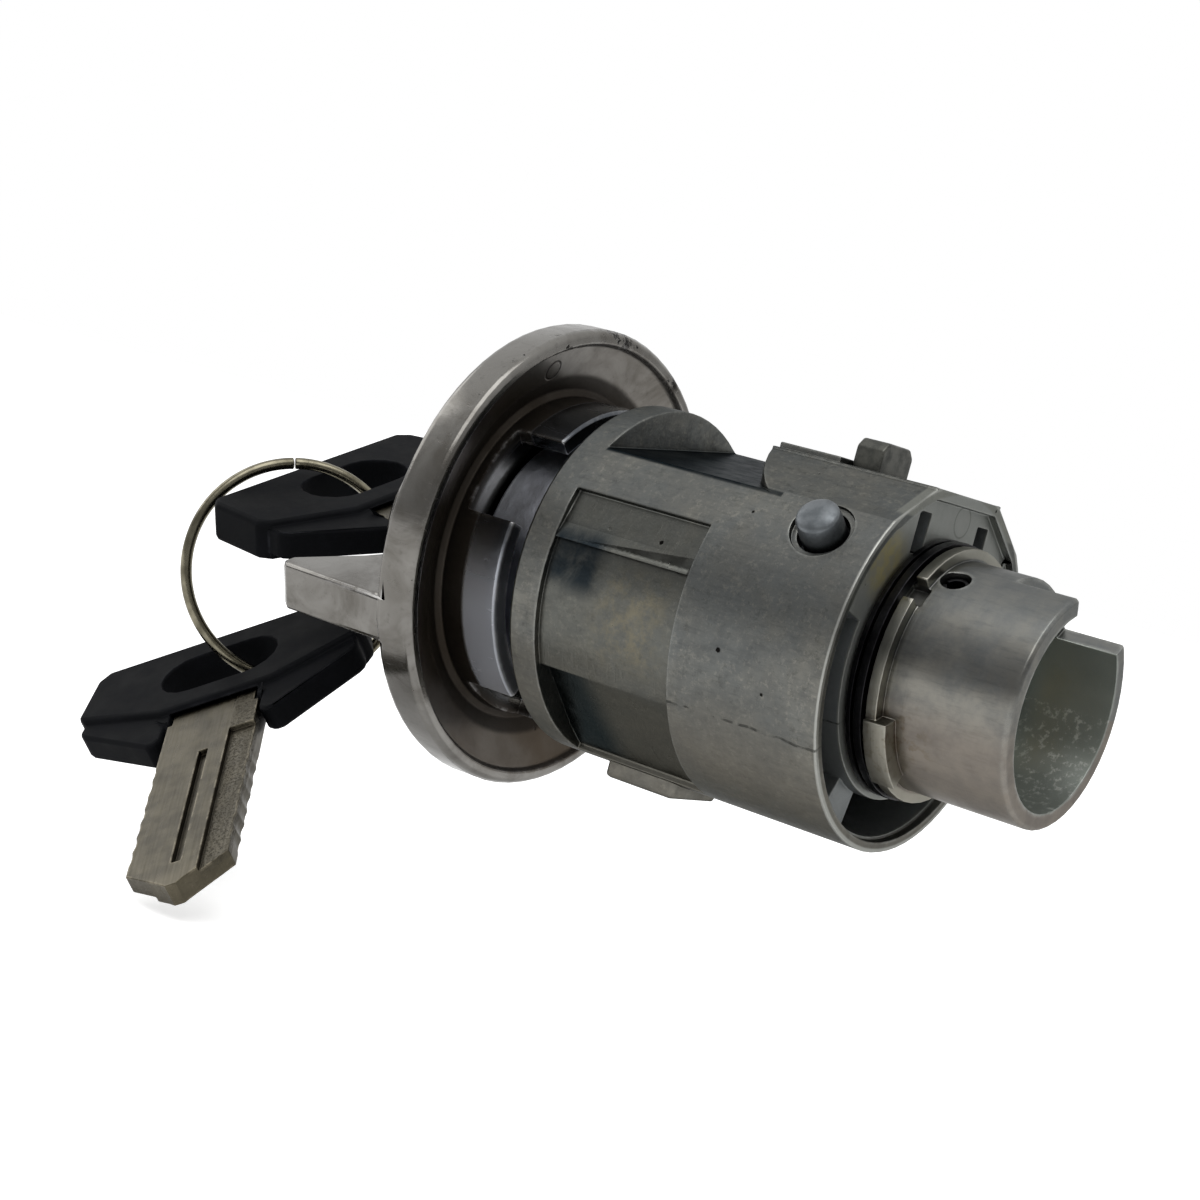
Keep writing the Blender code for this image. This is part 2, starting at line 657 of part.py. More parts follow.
def build_housing(finish):
    housing = part("housing", turned(housing_profile(), STEPS_LARGE), finish)
    add_boss_faces(housing)
    add_waist(housing)
    add_corner_facet(housing)
    add_plunger_bore(housing)
    add_bolt_pocket(housing)
    add_foot_rib(housing)
    groove_reach = plug_bore + BROACH_DEPTH
    groove = rectangle(-groove_reach, groove_reach, -wafer_slot_half, wafer_slot_half)
    turn = Matrix.Rotation(ROTOR_TURN, 4, "X")
    last = wafer_level(wafer_count - 1) + WAFER_THICKNESS * 2
    cut(housing, prism([groove], neck_front - OVERRUN, last, turn @ ALONG_X))
    add_rear_pockets(housing)
    return housing


def build_plunger(finish, spring_finish):
    floor, flange_bottom, flange_top, _, _, surface = plunger_levels()
    frame = radial_frame(PLUNGER_X, PLUNGER_DEGREES)
    top = surface + PLUNGER_PROUD
    flange = PLUNGER_RADIUS + PLUNGER_FLANGE
    core_top = flange_bottom + PLUNGER_TRAVEL + PLUNGER_LIP
    dome_foot = top - PLUNGER_DOME
    dome = [(PLUNGER_RADIUS * cos(radians(turn)), dome_foot + PLUNGER_DOME * sin(radians(turn)))
            for turn in range(0, 90, DOME_STEP)]
    core = [(0.0, core_top), (PLUNGER_CORE, core_top), (PLUNGER_CORE, flange_bottom)]
    collar = [(flange, flange_bottom), (flange, flange_top), (PLUNGER_RADIUS, flange_top)]
    profile = core + collar + dome + [(0.0, top)]
    plunger = part("retaining_plunger", turned(profile, STEPS_SMALL, frame, closed=False), finish)
    spring_radius = PLUNGER_CORE - FIT_GAP - COIL_WIRE
    spring_top = core_top - PLUNGER_TRAVEL - SEAT_GAP
    spring_foot = floor + SEAT_GAP
    spring = coil(spring_radius, COIL_WIRE, PLUNGER_SPRING_TURNS, spring_foot, spring_top, frame)
    part("plunger_spring", spring, spring_finish)
    return plunger


def build_latch_bolt(finish, spring_finish):
    floor, foot_bottom, foot_top, _ = bolt_levels()
    top = BOSS_HEIGHT + BOLT_PROUD
    half = BOLT_WIDTH / 2
    wide = half + BOLT_FOOT - FIT_GAP
    chamfer = BOLT_TOP_CHAMFER
    outline = [(-wide, foot_bottom), (wide, foot_bottom), (wide, foot_top), (half, foot_top),
               (half, top - chamfer), (half - chamfer, top), (-half + chamfer, top), (-half, top - chamfer),
               (-half, foot_top), (-wide, foot_top)]
    near, far = BOLT_X - BOLT_LENGTH / 2, BOLT_X + BOLT_LENGTH / 2
    bolt = part("latch_bolt", prism([outline], near, far), finish)
    frame = Matrix.Translation((BOLT_X, 0.0, 0.0))
    core_top = foot_bottom + BOLT_TRAVEL + BOLT_LIP
    core = turned([(0.0, core_top), (BOLT_CORE, core_top), (BOLT_CORE, foot_bottom - OVERRUN),
                   (0.0, foot_bottom - OVERRUN)], STEPS_SMALL, frame, closed=False)
    cut(bolt, core)
    spring_radius = BOLT_CORE - FIT_GAP / 2 - COIL_WIRE
    low, high = floor + SEAT_GAP, core_top - SEAT_GAP
    spring = coil(spring_radius, COIL_WIRE, LATCH_SPRING_TURNS, low, high, frame)
    part("latch_spring", spring, spring_finish)
    return bolt


def knob_profile():
    """Half section of the knob: hollow hub, rounded rim, dished back, web and skirt."""
    rim = KNOB_RADIUS
    fillet = KNOB_RIM_ROUND
    bore = PLUG_HEAD_RADIUS + FIT_GAP
    hub = [(plug_bore, hub_inner_front), (plug_bore, head_seat), (bore, head_seat), (bore, hub_front),
           (HUB_RADIUS - fillet, hub_front), (HUB_RADIUS, hub_front + fillet),
           (HUB_RADIUS, knob_front - fillet), (HUB_RADIUS + fillet, knob_front)]
    edge = [(rim - fillet * 2, knob_front), (rim - fillet / 3, knob_front + fillet / 3),
            (rim, knob_front + fillet * 4 / 3), (rim, -fillet), (rim - fillet / 3, -fillet / 3),
            (rim - fillet, 0.0)]
    dish_outer = rim - KNOB_LIP
    dish_floor = -KNOB_DISH_DEPTH
    dish = [(dish_outer, 0.0), (dish_outer - fillet / 2, -fillet), (SKIRT_RADIUS + fillet, dish_floor),
            (SKIRT_RADIUS, dish_floor + fillet / 2)]
    chamfer = SKIRT_WALL / 6
    skirt = [(SKIRT_RADIUS, SKIRT_LENGTH - chamfer), (SKIRT_RADIUS - chamfer, SKIRT_LENGTH),
             (skirt_inner, SKIRT_LENGTH), (skirt_inner, web_back), (hub_inner, web_back),
             (hub_inner, hub_inner_front)]
    return hub + edge + dish + skirt


def ear_outline():
    """Side view of a finger ear: level along the axis, distance from it."""
    tip = knob_front - EAR_HEIGHT
    outer = KNOB_RADIUS - KNOB_RIM_ROUND / 4
    root = knob_front + KNOB_WEB / 3
    slope_run = outer - EAR_TIP - EAR_FOOT_RADIUS
    return [(root, outer), (tip + EAR_CHAMFER_ALONG, outer), (tip, outer - EAR_CHAMFER_ACROSS),
            (tip, outer - EAR_TIP), (tip + slope_run, EAR_FOOT_RADIUS), (root, EAR_FOOT_RADIUS)]


def build_knob(finish, parent):
    knob = part("bezel_knob", turned(knob_profile(), STEPS_LARGE), finish, parent)
    for side in (-1, 1):
        outline = [(level, side * out) for level, out in ear_outline()]
        ear = prism([outline], -EAR_THICKNESS / 2, EAR_THICKNESS / 2, ALONG_Z)
        join(knob, rounded(ear, EAR_EDGE_ROUND))
        notch_half = DRIVE_LUG_WIDTH / 2 + FIT_GAP
        reach = PLUG_HEAD_RADIUS + DRIVE_LUG_REACH + FIT_GAP
        sides = sorted((side * plug_bore, side * reach))
        cut(knob, prism([rectangle(*sides, -notch_half, notch_half)], hub_front - OVERRUN, head_seat))
    half = SKIRT_WINDOW_DEGREES / 2
    window_inner, window_outer = skirt_inner - SKIRT_WALL / 2, SKIRT_RADIUS + SKIRT_WALL / 2
    for centre in SKIRT_WINDOW_CENTRES:
        window = sector(window_inner, window_outer, centre - half, centre + half)
        cut(knob, prism([window], SKIRT_WINDOW_START, SKIRT_LENGTH + OVERRUN))
    return knob


def wafer_level(index):
    """Level of a wafer's middle: it lines up with its cut when the key is home."""
    return head_front + CUT_FIRST + CUT_PITCH * index


def build_plug(finish, parent):
    """Headed plug with drive lugs, keyway, wafer slots and the pinned tail."""
    chamfer = PLUG_TAIL_CHAMFER
    head_back = hub_front + PLUG_HEAD_LENGTH
    profile = [(0.0, hub_front), (PLUG_HEAD_RADIUS, hub_front), (PLUG_HEAD_RADIUS, head_back),
               (PLUG_RADIUS, head_back), (PLUG_RADIUS, plug_shoulder), (PLUG_TAIL_RADIUS, plug_shoulder),
               (PLUG_TAIL_RADIUS, plug_end - chamfer), (PLUG_TAIL_RADIUS - chamfer, plug_end),
               (0.0, plug_end)]
    plug = part("plug", turned(profile, STEPS_MEDIUM, closed=False), finish, parent)
    lug_reach = PLUG_HEAD_RADIUS + DRIVE_LUG_REACH
    lug_half = DRIVE_LUG_WIDTH / 2
    lug_bar = [rectangle(-lug_reach, lug_reach, -lug_half, lug_half)]
    join(plug, prism(lug_bar, hub_front + SEAT_GAP, head_back - SEAT_GAP / 2))
    keyway_end = head_front + BLADE_LENGTH + SEAT_GAP * 2
    keyway = rectangle(-slot_half_width, slot_half_width, -slot_half_thickness, slot_half_thickness)
    cut(plug, prism([keyway], hub_front - OVERRUN, keyway_end))
    reach = PLUG_RADIUS + OVERRUN / 2
    half = WAFER_THICKNESS / 2 + FIT_GAP / 2
    for index in range(wafer_count):
        level = wafer_level(index)
        cut(plug, prism([wafer_slot_outline(reach)], level - half, level + half))
    cut(plug, cross_pin_shape(CROSS_PIN_RADIUS + PIN_GAP, reach))
    return plug


def wafer_slot_outline(reach):
    """Slot across the plug with the side pocket that takes the wafer's tab and spring."""
    low, high = -wafer_slot_half, wafer_slot_half
    pocket = wafer_half + WAFER_TAB_REACH + FIT_GAP
    tab_top = WAFER_TAB_WIDTH + FIT_GAP * 2
    spring_foot = -WAFER_SPRING_LENGTH - SEAT_GAP
    return [(-reach, low), (reach, low), (reach, high), (tab_top, high), (tab_top, pocket),
            (spring_foot, pocket), (spring_foot, high), (-reach, high)]


def build_wafer(index, finish, spring_finish, parent):
    """Plate wafer with its key window and spring tab, and the coil under the tab."""
    end = sqrt(PLUG_RADIUS ** 2 - wafer_half ** 2)
    tab = wafer_half + WAFER_TAB_REACH
    outer = [(-end, -wafer_half), (end, -wafer_half), (end, wafer_half), (WAFER_TAB_WIDTH, wafer_half),
             (WAFER_TAB_WIDTH, tab), (SEAT_GAP, tab), (SEAT_GAP, wafer_half), (-end, wafer_half)]
    window = rectangle(-slot_half_width, slot_half_width, -slot_half_thickness, slot_half_thickness)
    level = wafer_level(index)
    plate = prism([outer, window[::-1]], level - WAFER_THICKNESS / 2, level + WAFER_THICKNESS / 2)
    part("wafer_" + str(index + 1), plate, finish, parent)
    coil_side = wafer_half + FIT_GAP + WAFER_SPRING_RADIUS
    frame = Matrix.Translation((level, 0.0, coil_side)) @ Matrix.Rotation(pi / 2, 4, "X")
    radius = min(WAFER_SPRING_RADIUS, WAFER_THICKNESS / 2) - WAFER_SPRING_WIRE
    spring = coil(radius, WAFER_SPRING_WIRE, WAFER_SPRING_TURNS, 0.0, WAFER_SPRING_LENGTH, frame,
                  SMALL_COIL_POINTS)
    part("wafer_spring_" + str(index + 1), spring, spring_finish, parent)


def build_face_cap(finish, parent):
    keyhole = rectangle(-slot_half_width, slot_half_width, -slot_half_thickness, slot_half_thickness)
    disc = circle((0.0, 0.0), PLUG_HEAD_RADIUS, STEPS_MEDIUM)
    part("face_cap", prism([disc, keyhole[::-1]], cap_front, cap_front + FACE_CAP_THICKNESS), finish, parent)


def cross_pin_shape(radius, reach):
    frame = radial_frame(CROSS_PIN_X, CROSS_PIN_DEGREES)
    profile = [(0.0, reach), (radius, reach), (radius, -reach), (0.0, -reach)]
    return turned(profile, STEPS_SMALL, frame, closed=False)


def build_sleeve(finish, parent):
    """Drive sleeve: bored hub, collar with its notch, tube with the coupling slot, and drive lug."""
    collar_end = collar_start + SLEEVE_COLLAR_LENGTH
    chamfer = SLEEVE_WALL / 6
    profile = [(tail_bore, sleeve_front), (SLEEVE_RADIUS, sleeve_front), (SLEEVE_RADIUS, collar_start),
               (SLEEVE_COLLAR_RADIUS, collar_start), (SLEEVE_COLLAR_RADIUS, collar_end),
               (SLEEVE_RADIUS, collar_end), (SLEEVE_RADIUS, SLEEVE_END - chamfer),
               (SLEEVE_RADIUS - chamfer, SLEEVE_END), (sleeve_bore, SLEEVE_END), (sleeve_bore, SLEEVE_FLOOR),
               (tail_bore, SLEEVE_FLOOR)]
    sleeve = part("drive_sleeve", turned(profile, STEPS_MEDIUM), finish, parent)
    half = SLEEVE_LUG_DEGREES / 2
    lug = sector(SLEEVE_RADIUS - SLEEVE_WALL / 2, SLEEVE_RADIUS + SLEEVE_LUG_REACH,
                 SLEEVE_LUG_CENTRE - half, SLEEVE_LUG_CENTRE + half)
    join(sleeve, prism([lug], collar_start + SEAT_GAP / 3, collar_start + SLEEVE_LUG_LENGTH))
    half = SLEEVE_NOTCH_DEGREES / 2
    notch = sector(SLEEVE_RADIUS - SLEEVE_WALL / 3, SLEEVE_COLLAR_RADIUS + OVERRUN,
                   SLEEVE_NOTCH_CENTRE - half, SLEEVE_NOTCH_CENTRE + half)
    cut(sleeve, prism([notch], collar_start - OVERRUN / 4, collar_end + SEAT_GAP))
    half = SLEEVE_SLOT_DEGREES / 2
    slot = sector(sleeve_bore - SLEEVE_WALL, SLEEVE_RADIUS + OVERRUN,
                  SLEEVE_SLOT_CENTRE - half, SLEEVE_SLOT_CENTRE + half)
    cut(sleeve, prism([slot], SLEEVE_END - SLEEVE_SLOT_DEPTH, SLEEVE_END + OVERRUN))
    cut(sleeve, cross_pin_shape(CROSS_PIN_RADIUS + PIN_GAP, SLEEVE_RADIUS + OVERRUN))
    return sleeve


def build_cross_pin(finish, parent):
    """Rolled pin with the open seam of its bent strip."""
    frame = radial_frame(CROSS_PIN_X, CROSS_PIN_DEGREES)
    reach = SLEEVE_RADIUS - CROSS_PIN_SUNK
    inner = CROSS_PIN_RADIUS - CROSS_PIN_WALL
    ring = sector(inner, CROSS_PIN_RADIUS, CROSS_PIN_SEAM, 360 - CROSS_PIN_SEAM, CROSS_PIN_STEP)
    part("cross_pin", prism([ring], -reach, reach, frame), finish, parent)


def build_thrust_rings(washer_finish, wave_finish):
    """Wave washer and flat washer between the bearing ring and the sleeve's collar."""
    inner = SLEEVE_RADIUS + RING_BORE_GAP
    outer = SLEEVE_RADIUS + RING_REACH
    for name, start, thickness, finish in (("wave_washer", wave_start, WAVE_THICKNESS, wave_finish),
                                           ("thrust_washer", washer_start, RING_THICKNESS, washer_finish)):
        outlines = [circle((0.0, 0.0), outer, STEPS_MEDIUM), circle((0.0, 0.0), inner, STEPS_MEDIUM)[::-1]]
        part(name, prism(outlines, start, start + thickness), finish)


def blade_outline():
    """Blade seen flat: shouldered tang, notches down both edges, then the pointed tip."""
    half = BLADE_WIDTH / 2
    tang = BLADE_TANG_WIDTH / 2
    root = -CHEEK_NOTCH_DEPTH
    edge = [(root - BLADE_TANG_LENGTH, tang), (root + FIT_GAP, tang), (root + FIT_GAP, half)]
    for index, depth in enumerate(CUT_DEPTHS):
        middle = CUT_FIRST + CUT_PITCH * index
        ramp = min((CUT_PITCH - CUT_FLAT) * CUT_RAMP_SHARE, depth)
        edge += [(middle - CUT_FLAT / 2 - ramp, half), (middle - CUT_FLAT / 2, half - depth),
                 (middle + CUT_FLAT / 2, half - depth), (middle + CUT_FLAT / 2 + ramp, half)]
    tip = BLADE_LENGTH - BLADE_TIP_LENGTH
    nose = BLADE_TIP_WIDTH / 4
    edge += [(tip, half), (BLADE_LENGTH - nose, BLADE_TIP_WIDTH / 2), (BLADE_LENGTH, nose)]
    return edge + [(along, -across) for along, across in reversed(edge)]


def mirrored(half_outline):
    """Whole outline from its half on the +Y side, listed from the blade end outwards."""
    return half_outline + [(along, -across) for along, across in reversed(half_outline)]


def grip_outline():
    """Thick part of the head seen flat, its front edge sloping back to the sides."""
    end = -HEAD_LENGTH
    front = end + GRIP_LENGTH
    half = HEAD_WIDTH / 2
    return mirrored([(front, GRIP_FRONT_WIDTH / 2), (front - GRIP_SHOULDER, half - GRIP_CORNER_SINK),
                     (front - GRIP_SHOULDER - HEAD_END_CORNER, half),
                     (end + HEAD_END_CORNER, HEAD_CORNER_WIDTH / 2), (end, HEAD_END_WIDTH / 2)])


def cheek_outline():
    """Thin part of the head seen flat: it tapers to the blade and leaves a notch round its root."""
    front = CHEEK_FRONT_WIDTH / 2
    half = HEAD_WIDTH / 2
    notch = slot_half_width
    root = -CHEEK_NOTCH_DEPTH
    inner = -HEAD_LENGTH + GRIP_LENGTH / 3
    return mirrored([(root, notch), (-CHEEK_ROUND * 2, notch), (0.0, notch + CHEEK_ROUND * 2),
                     (0.0, front - CHEEK_ROUND), (-CHEEK_SHOULDER, half - CHEEK_ROUND * 3),
                     (-CHEEK_SHOULDER - CHEEK_ROUND * 3, half - CHEEK_ROUND),
                     (inner, half - HEAD_END_CORNER)])


def slot_outline():
    """Round-ended ring slot across the head."""
    centre = HEAD_SLOT_CENTRE - HEAD_LENGTH
    radius = HEAD_SLOT_WIDTH / 2
    run = HEAD_SLOT_LENGTH / 2 - radius
    points = []
    for middle, start in ((run, 0.0), (-run, pi)):
        for index in range(SLOT_END_STEPS + 1):
            angle = start + pi * index / SLOT_END_STEPS
            points.append((centre + radius * cos(angle), middle + radius * sin(angle)))
    return points


def place(item, location, turn):
    item.location = location
    item.rotation_euler = turn
    return item


def build_blade(name, finish, parent, location, turn):
    """Grooved and stepped blade; both faces are alike after half a turn about its length."""
    upper = BLADE_THICKNESS / 2
    flat = prism([blade_outline()], -upper, upper, ALONG_Z)
    blade = place(part(name, flat, finish, parent), location, turn)
    half_groove = BLADE_GROOVE_WIDTH / 2
    end = BLADE_LENGTH - BLADE_TIP_LENGTH
    groove = rectangle(BLADE_GROOVE_START, end, -half_groove, half_groove)
    step = rectangle(BLADE_STEP_START, BLADE_LENGTH + OVERRUN, BLADE_STEP_OFFSET, BLADE_WIDTH)
    for flip in (ALONG_Z, Matrix.Rotation(pi, 4, "X")):
        cut(blade, prism([groove], upper - BLADE_GROOVE_DEPTH, upper + OVERRUN, flip))
        cut(blade, prism([step], upper - BLADE_STEP_DEPTH, upper + OVERRUN, flip))
    return blade


def build_head(name, finish, parent, location, turn):
    """Moulded head: thick grip, thin cheeks beside the blade, ring slot and pocket for the tang."""
    half = HEAD_THICKNESS / 2
    grip = rounded(prism([grip_outline()], -half, half, ALONG_Z), HEAD_EDGE_ROUND)
    head = place(part(name, grip, finish, parent), location, turn)
    thin = CHEEK_THICKNESS / 2
    join(head, rounded(prism([cheek_outline()], -thin, thin, ALONG_Z), CHEEK_ROUND))
    cut(head, prism([slot_outline()], -half - OVERRUN, half + OVERRUN, ALONG_Z))
    root = -CHEEK_NOTCH_DEPTH
    tang_half = BLADE_TANG_WIDTH / 2 + FIT_GAP
    tang = rectangle(root - BLADE_TANG_LENGTH - FIT_GAP, root + OVERRUN, -tang_half, tang_half)
    cut(head, prism([tang], -BLADE_THICKNESS / 2 - FIT_GAP, BLADE_THICKNESS / 2 + FIT_GAP, ALONG_Z))
    return head


def build_key_ring(finish, parent):
    """Single loop of spring wire whose ends butt together, placed about its pivot."""
    curve = bpy.data.curves.new("key_ring", "CURVE")
    curve.dimensions = "3D"
    curve.bevel_depth = RING_WIRE
    curve.bevel_resolution = 2
    curve.use_fill_caps = True
    spline = curve.splines.new("POLY")
    spline.points.add(RING_STEPS)
    for index, point in enumerate(spline.points):
        share = index / RING_STEPS
        angle = radians(RING_BUTT_TURN + RING_BUTT_DEGREES / 2 + (360 - RING_BUTT_DEGREES) * share)
        point.co = (RING_RADIUS * cos(angle), RING_RADIUS * sin(angle), 0.0, 1.0)
    centre = Vector(RING_CENTRE) - Vector(RING_PIVOT)
    facing = Vector(RING_NORMAL).to_track_quat("Z", "Y").to_matrix().to_4x4()
    ring = baked(bpy.data.objects.new("ring", curve), Matrix.Translation(centre) @ facing)
    part("key_ring", ring, finish, parent)


clear_scene()
parts = new_collection("ignition_lock_cylinder")
cutters = new_collection("cutters")

zinc = material("cast_zinc", (0.36, 0.35, 0.33), 0.42, 1.0)
chrome = material("bezel_chrome", (0.50, 0.49, 0.47), 0.22, 1.0)
brass = material("plug_brass", (0.62, 0.48, 0.24), 0.35, 1.0)
steel = material("sleeve_steel", (0.42, 0.41, 0.39), 0.38, 1.0)
dark_steel = material("spring_steel", (0.16, 0.16, 0.17), 0.40, 1.0)
nickel = material("key_nickel", (0.52, 0.48, 0.42), 0.33, 1.0)
black = material("key_head_black", (0.018, 0.019, 0.021), 0.55, 0.0)

build_housing(zinc)
build_plunger(steel, dark_steel)
build_latch_bolt(zinc, dark_steel)
build_thrust_rings(dark_steel, dark_steel)

rotor = empty("rotor_axis", turn=ROTOR_TURN)
build_knob(chrome, rotor)
build_plug(brass, rotor)
build_face_cap(chrome, rotor)
for wafer_index in range(wafer_count):
    build_wafer(wafer_index, brass, dark_steel, rotor)
build_sleeve(steel, rotor)
build_cross_pin(dark_steel, rotor)

still = (0.0, 0.0, 0.0)
key_seat = empty("key_seat", location=(head_front, 0.0, 0.0), parent=rotor)
build_blade("key_blade", nickel, key_seat, still, still)
build_head("key_head", black, key_seat, still, still)

ring_pivot = empty("ring_pivot", location=RING_PIVOT, parent=key_seat)
build_key_ring(nickel, ring_pivot)
spare_pivot = empty("spare_pivot", location=Vector(SPARE_PIVOT) - Vector(RING_PIVOT), parent=ring_pivot)
spare_place = Vector(SPARE_PLACE) - Vector(SPARE_PIVOT)
build_blade("spare_key_blade", nickel, spare_pivot, spare_place, SPARE_TURN)
build_head("spare_key_head", black, spare_pivot, spare_place, SPARE_TURN)
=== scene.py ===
"""Looks and light for the ignition lock cylinder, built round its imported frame.

Lengths are in metres. X is the lock's axis with the keyhole at -X, Z points through the latch boss, and
angles round the axis are polar angles measured from -Y towards +Z.
"""
from math import atan2, pi, radians

import bmesh
import bpy
from mathutils import Euler, Matrix, Vector

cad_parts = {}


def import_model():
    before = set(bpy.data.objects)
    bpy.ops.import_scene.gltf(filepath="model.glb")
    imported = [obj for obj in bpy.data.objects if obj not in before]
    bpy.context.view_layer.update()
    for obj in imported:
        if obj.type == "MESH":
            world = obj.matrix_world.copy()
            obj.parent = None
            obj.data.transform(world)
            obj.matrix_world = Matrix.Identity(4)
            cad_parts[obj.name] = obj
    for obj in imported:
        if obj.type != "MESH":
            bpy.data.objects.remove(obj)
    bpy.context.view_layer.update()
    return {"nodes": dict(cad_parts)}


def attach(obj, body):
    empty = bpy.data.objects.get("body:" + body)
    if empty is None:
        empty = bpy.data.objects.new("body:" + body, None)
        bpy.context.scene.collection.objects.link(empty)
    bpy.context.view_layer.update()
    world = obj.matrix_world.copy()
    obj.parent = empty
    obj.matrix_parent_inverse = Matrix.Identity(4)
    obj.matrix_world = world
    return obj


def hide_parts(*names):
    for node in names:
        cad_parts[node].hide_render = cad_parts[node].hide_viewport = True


# Camera, matched to the photograph's turned rims
CAMERA_PLACE = (0.14538, -0.20194, 0.01120)
CAMERA_AXES = ((0.78433, -0.24589, 0.56953), (0.56268, -0.10454, -0.82004), (0.26118, 0.96364, 0.05637))
CAMERA_LENS = 75.775
CAMERA_SENSOR = 36.0

# Where the pieces stand
ROTOR_TURN = radians(23.5)
KEY_SEAT = (-0.0168, 0.0, 0.0)
SPARE_SEAT = (-0.02407, -0.016575, -0.026181)
SPARE_TURN = (radians(-159.1), radians(5.3), radians(-51.0))
RING_CENTRE = (-0.03043, -0.003975, -0.009089)
RING_NORMAL = (-0.74577, 0.64925, -0.14938)
RING_BUTT = (-0.26942, -0.08884, 0.95892)
RING_RADIUS = 0.0113
RING_WIRE = 0.0006
RING_BUTT_GAP = radians(0.8)
RING_STEPS = 160
WIRE_STEPS = 20

# Blade and plunger, for the wear on them
BLADE_HALF = 0.0050
NOTCHES_START = 0.0044
NOTCHES_END = 0.0225
NOTCH_DEEPEST = 0.0012
NOTCH_WEAR = 0.85
PLUNGER_OUTWARD = (0.0, -0.81412, 0.58070)
PLUNGER_DOME_FOOT = 0.0178
PLUNGER_DOME = 0.0013
PLUNGER_FLATNESS = 0.35

# Places on the housing that a finish follows
COLLAR_FRONT = 0.0068
COLLAR_REAR = 0.0101
WAIST_END = 0.0251
REAR_FACE = 0.0402
HOUSING_REAR = 0.0410
PARTING_ANGLE = radians(-29.5)
WAIST_LOW = radians(-75.5)
WAIST_HIGH = radians(26.6)
TOP_FLAT_HEIGHT = 0.0133
TOP_FLAT_NORMAL = (0.0, -0.12880, 0.99167)
PAD_END = 0.0296
PANEL_START = 0.0098
PANEL_END = 0.0254
SLIVER_LOW = radians(14.8)
SLIVER_HIGH = radians(15.7)
SLIVER_WIDTH = 0.00015
PITS = (((0.0302, -0.0169, -0.0026), 0.00022), ((0.0208, -0.0157, 0.0049), 0.00020),
        ((0.0352, -0.0163, -0.0052), 0.00014), ((0.0282, -0.0141, 0.0097), 0.00013))
EJECTOR_REAR = (0.0402, 0.0013, 0.0136)
COLLAR_DARK_LEVELS = (0.0098, 0.0158)
COLLAR_DARK_ANGLES = (radians(-5), radians(14))
YELLOW_LEVELS = (0.0165, 0.0235)
YELLOW_ANGLES = (radians(-24), radians(4))
LOW_ANGLES = (radians(-75), radians(-33))
LAND_EDGE = (0.0158, 0.0161)
YELLOW_SPOT = (REAR_FACE, -0.0103, 0.0084)

# Radii, levels and places on the knob and the sleeve that a finish follows
DISH = (0.0154, 0.0218)
SKIRT_ROOT = (0.0150, 0.0182)
SKIRT = (0.0138, 0.0163)
SKIRT_END = (0.0041, 0.0043)
RIM_LINE = (0.0214, 0.0217)
RIM_LIP = (0.0213, 0.0220)
EJECTOR_KNOB = (-0.0018, -0.0082, 0.0177)
CHIP_TOP = (-0.0006, -0.0011, 0.0220)
CHIP_FAR = (-0.0006, 0.0098, 0.0197)
SLEEVE_BORE = (0.0090, 0.0092)
SLEEVE_FLANGE = (0.0107, 0.0109)
FLANGE_END = (0.0466, 0.0470)
RUST_SPOT = (0.0445, -0.0092, -0.0060)

# Tints of metal seen at a grazing angle, the moulding's shine, painted shade in corners and wear on edges
ZINC_AT_GRAZING = (0.36, 0.37, 0.38, 1.0)
SLEEVE_AT_GRAZING = (0.60, 0.60, 0.60, 1.0)
MOULDING_SHINE = 0.03
CORNER_SAMPLES = 6
RUBBED_FULL = 0.62
RUBBED_NONE = 0.96

# Widths of the small rounds on edges, and how meshes are cleaned and smoothed
CASTING_ROUND = 0.00014
KNOB_ROUND = 0.00016
TURNED_ROUND = 0.00010
BOLT_ROUND = 0.00022
SMALL_ROUND = 0.00008
THIN_ROUND = 0.00006
HEAD_ROUND = 0.00018
WIRE_ROUND = 0.00012
ROUND_SEGMENTS = 2
ROUND_FROM = 30
WIRE_ROUND_FROM = 50
WELD = 0.00002
FLAT_WITHIN = radians(0.4)
SMOOTH_ANGLE = radians(30)

# Lamps: place, aim, size and watts
SOFT_ABOVE = ((0.10, -0.25, 0.45), (0.01, 0.0, 0.0), (0.45, 0.45), 1.2)
SOFT_LEFT = ((-0.45, -0.10, 0.25), (-0.01, 0.0, 0.0), (0.30, 0.30), 0.45)

# Floor and room
WHITE = (1.0, 1.0, 1.0, 1.0)
FLOOR_LEVEL = -0.0395
FLOOR_SIZE = 4.0
FLOOR_COLOUR = (0.90, 0.90, 0.90, 1.0)
FLOOR_LIFT = 0.62
FLOOR_IN_METAL = 0.22
ROOM_BRIGHT_SIDE = (-0.2, 0.45, 0.87)
ROOM_DARK_LEAN = -0.35
ROOM_LIGHT_LEAN = 0.9
ROOM_DARK = 0.33
ROOM_LIGHT = 0.92


def tone(red, green, blue):
    """Linear colour of a display colour given in 0 to 255."""
    def linear(value):
        share = value / 255
        return share / 12.92 if share <= 0.04045 else ((share + 0.055) / 1.055) ** 2.4
    return (linear(red), linear(green), linear(blue), 1.0)


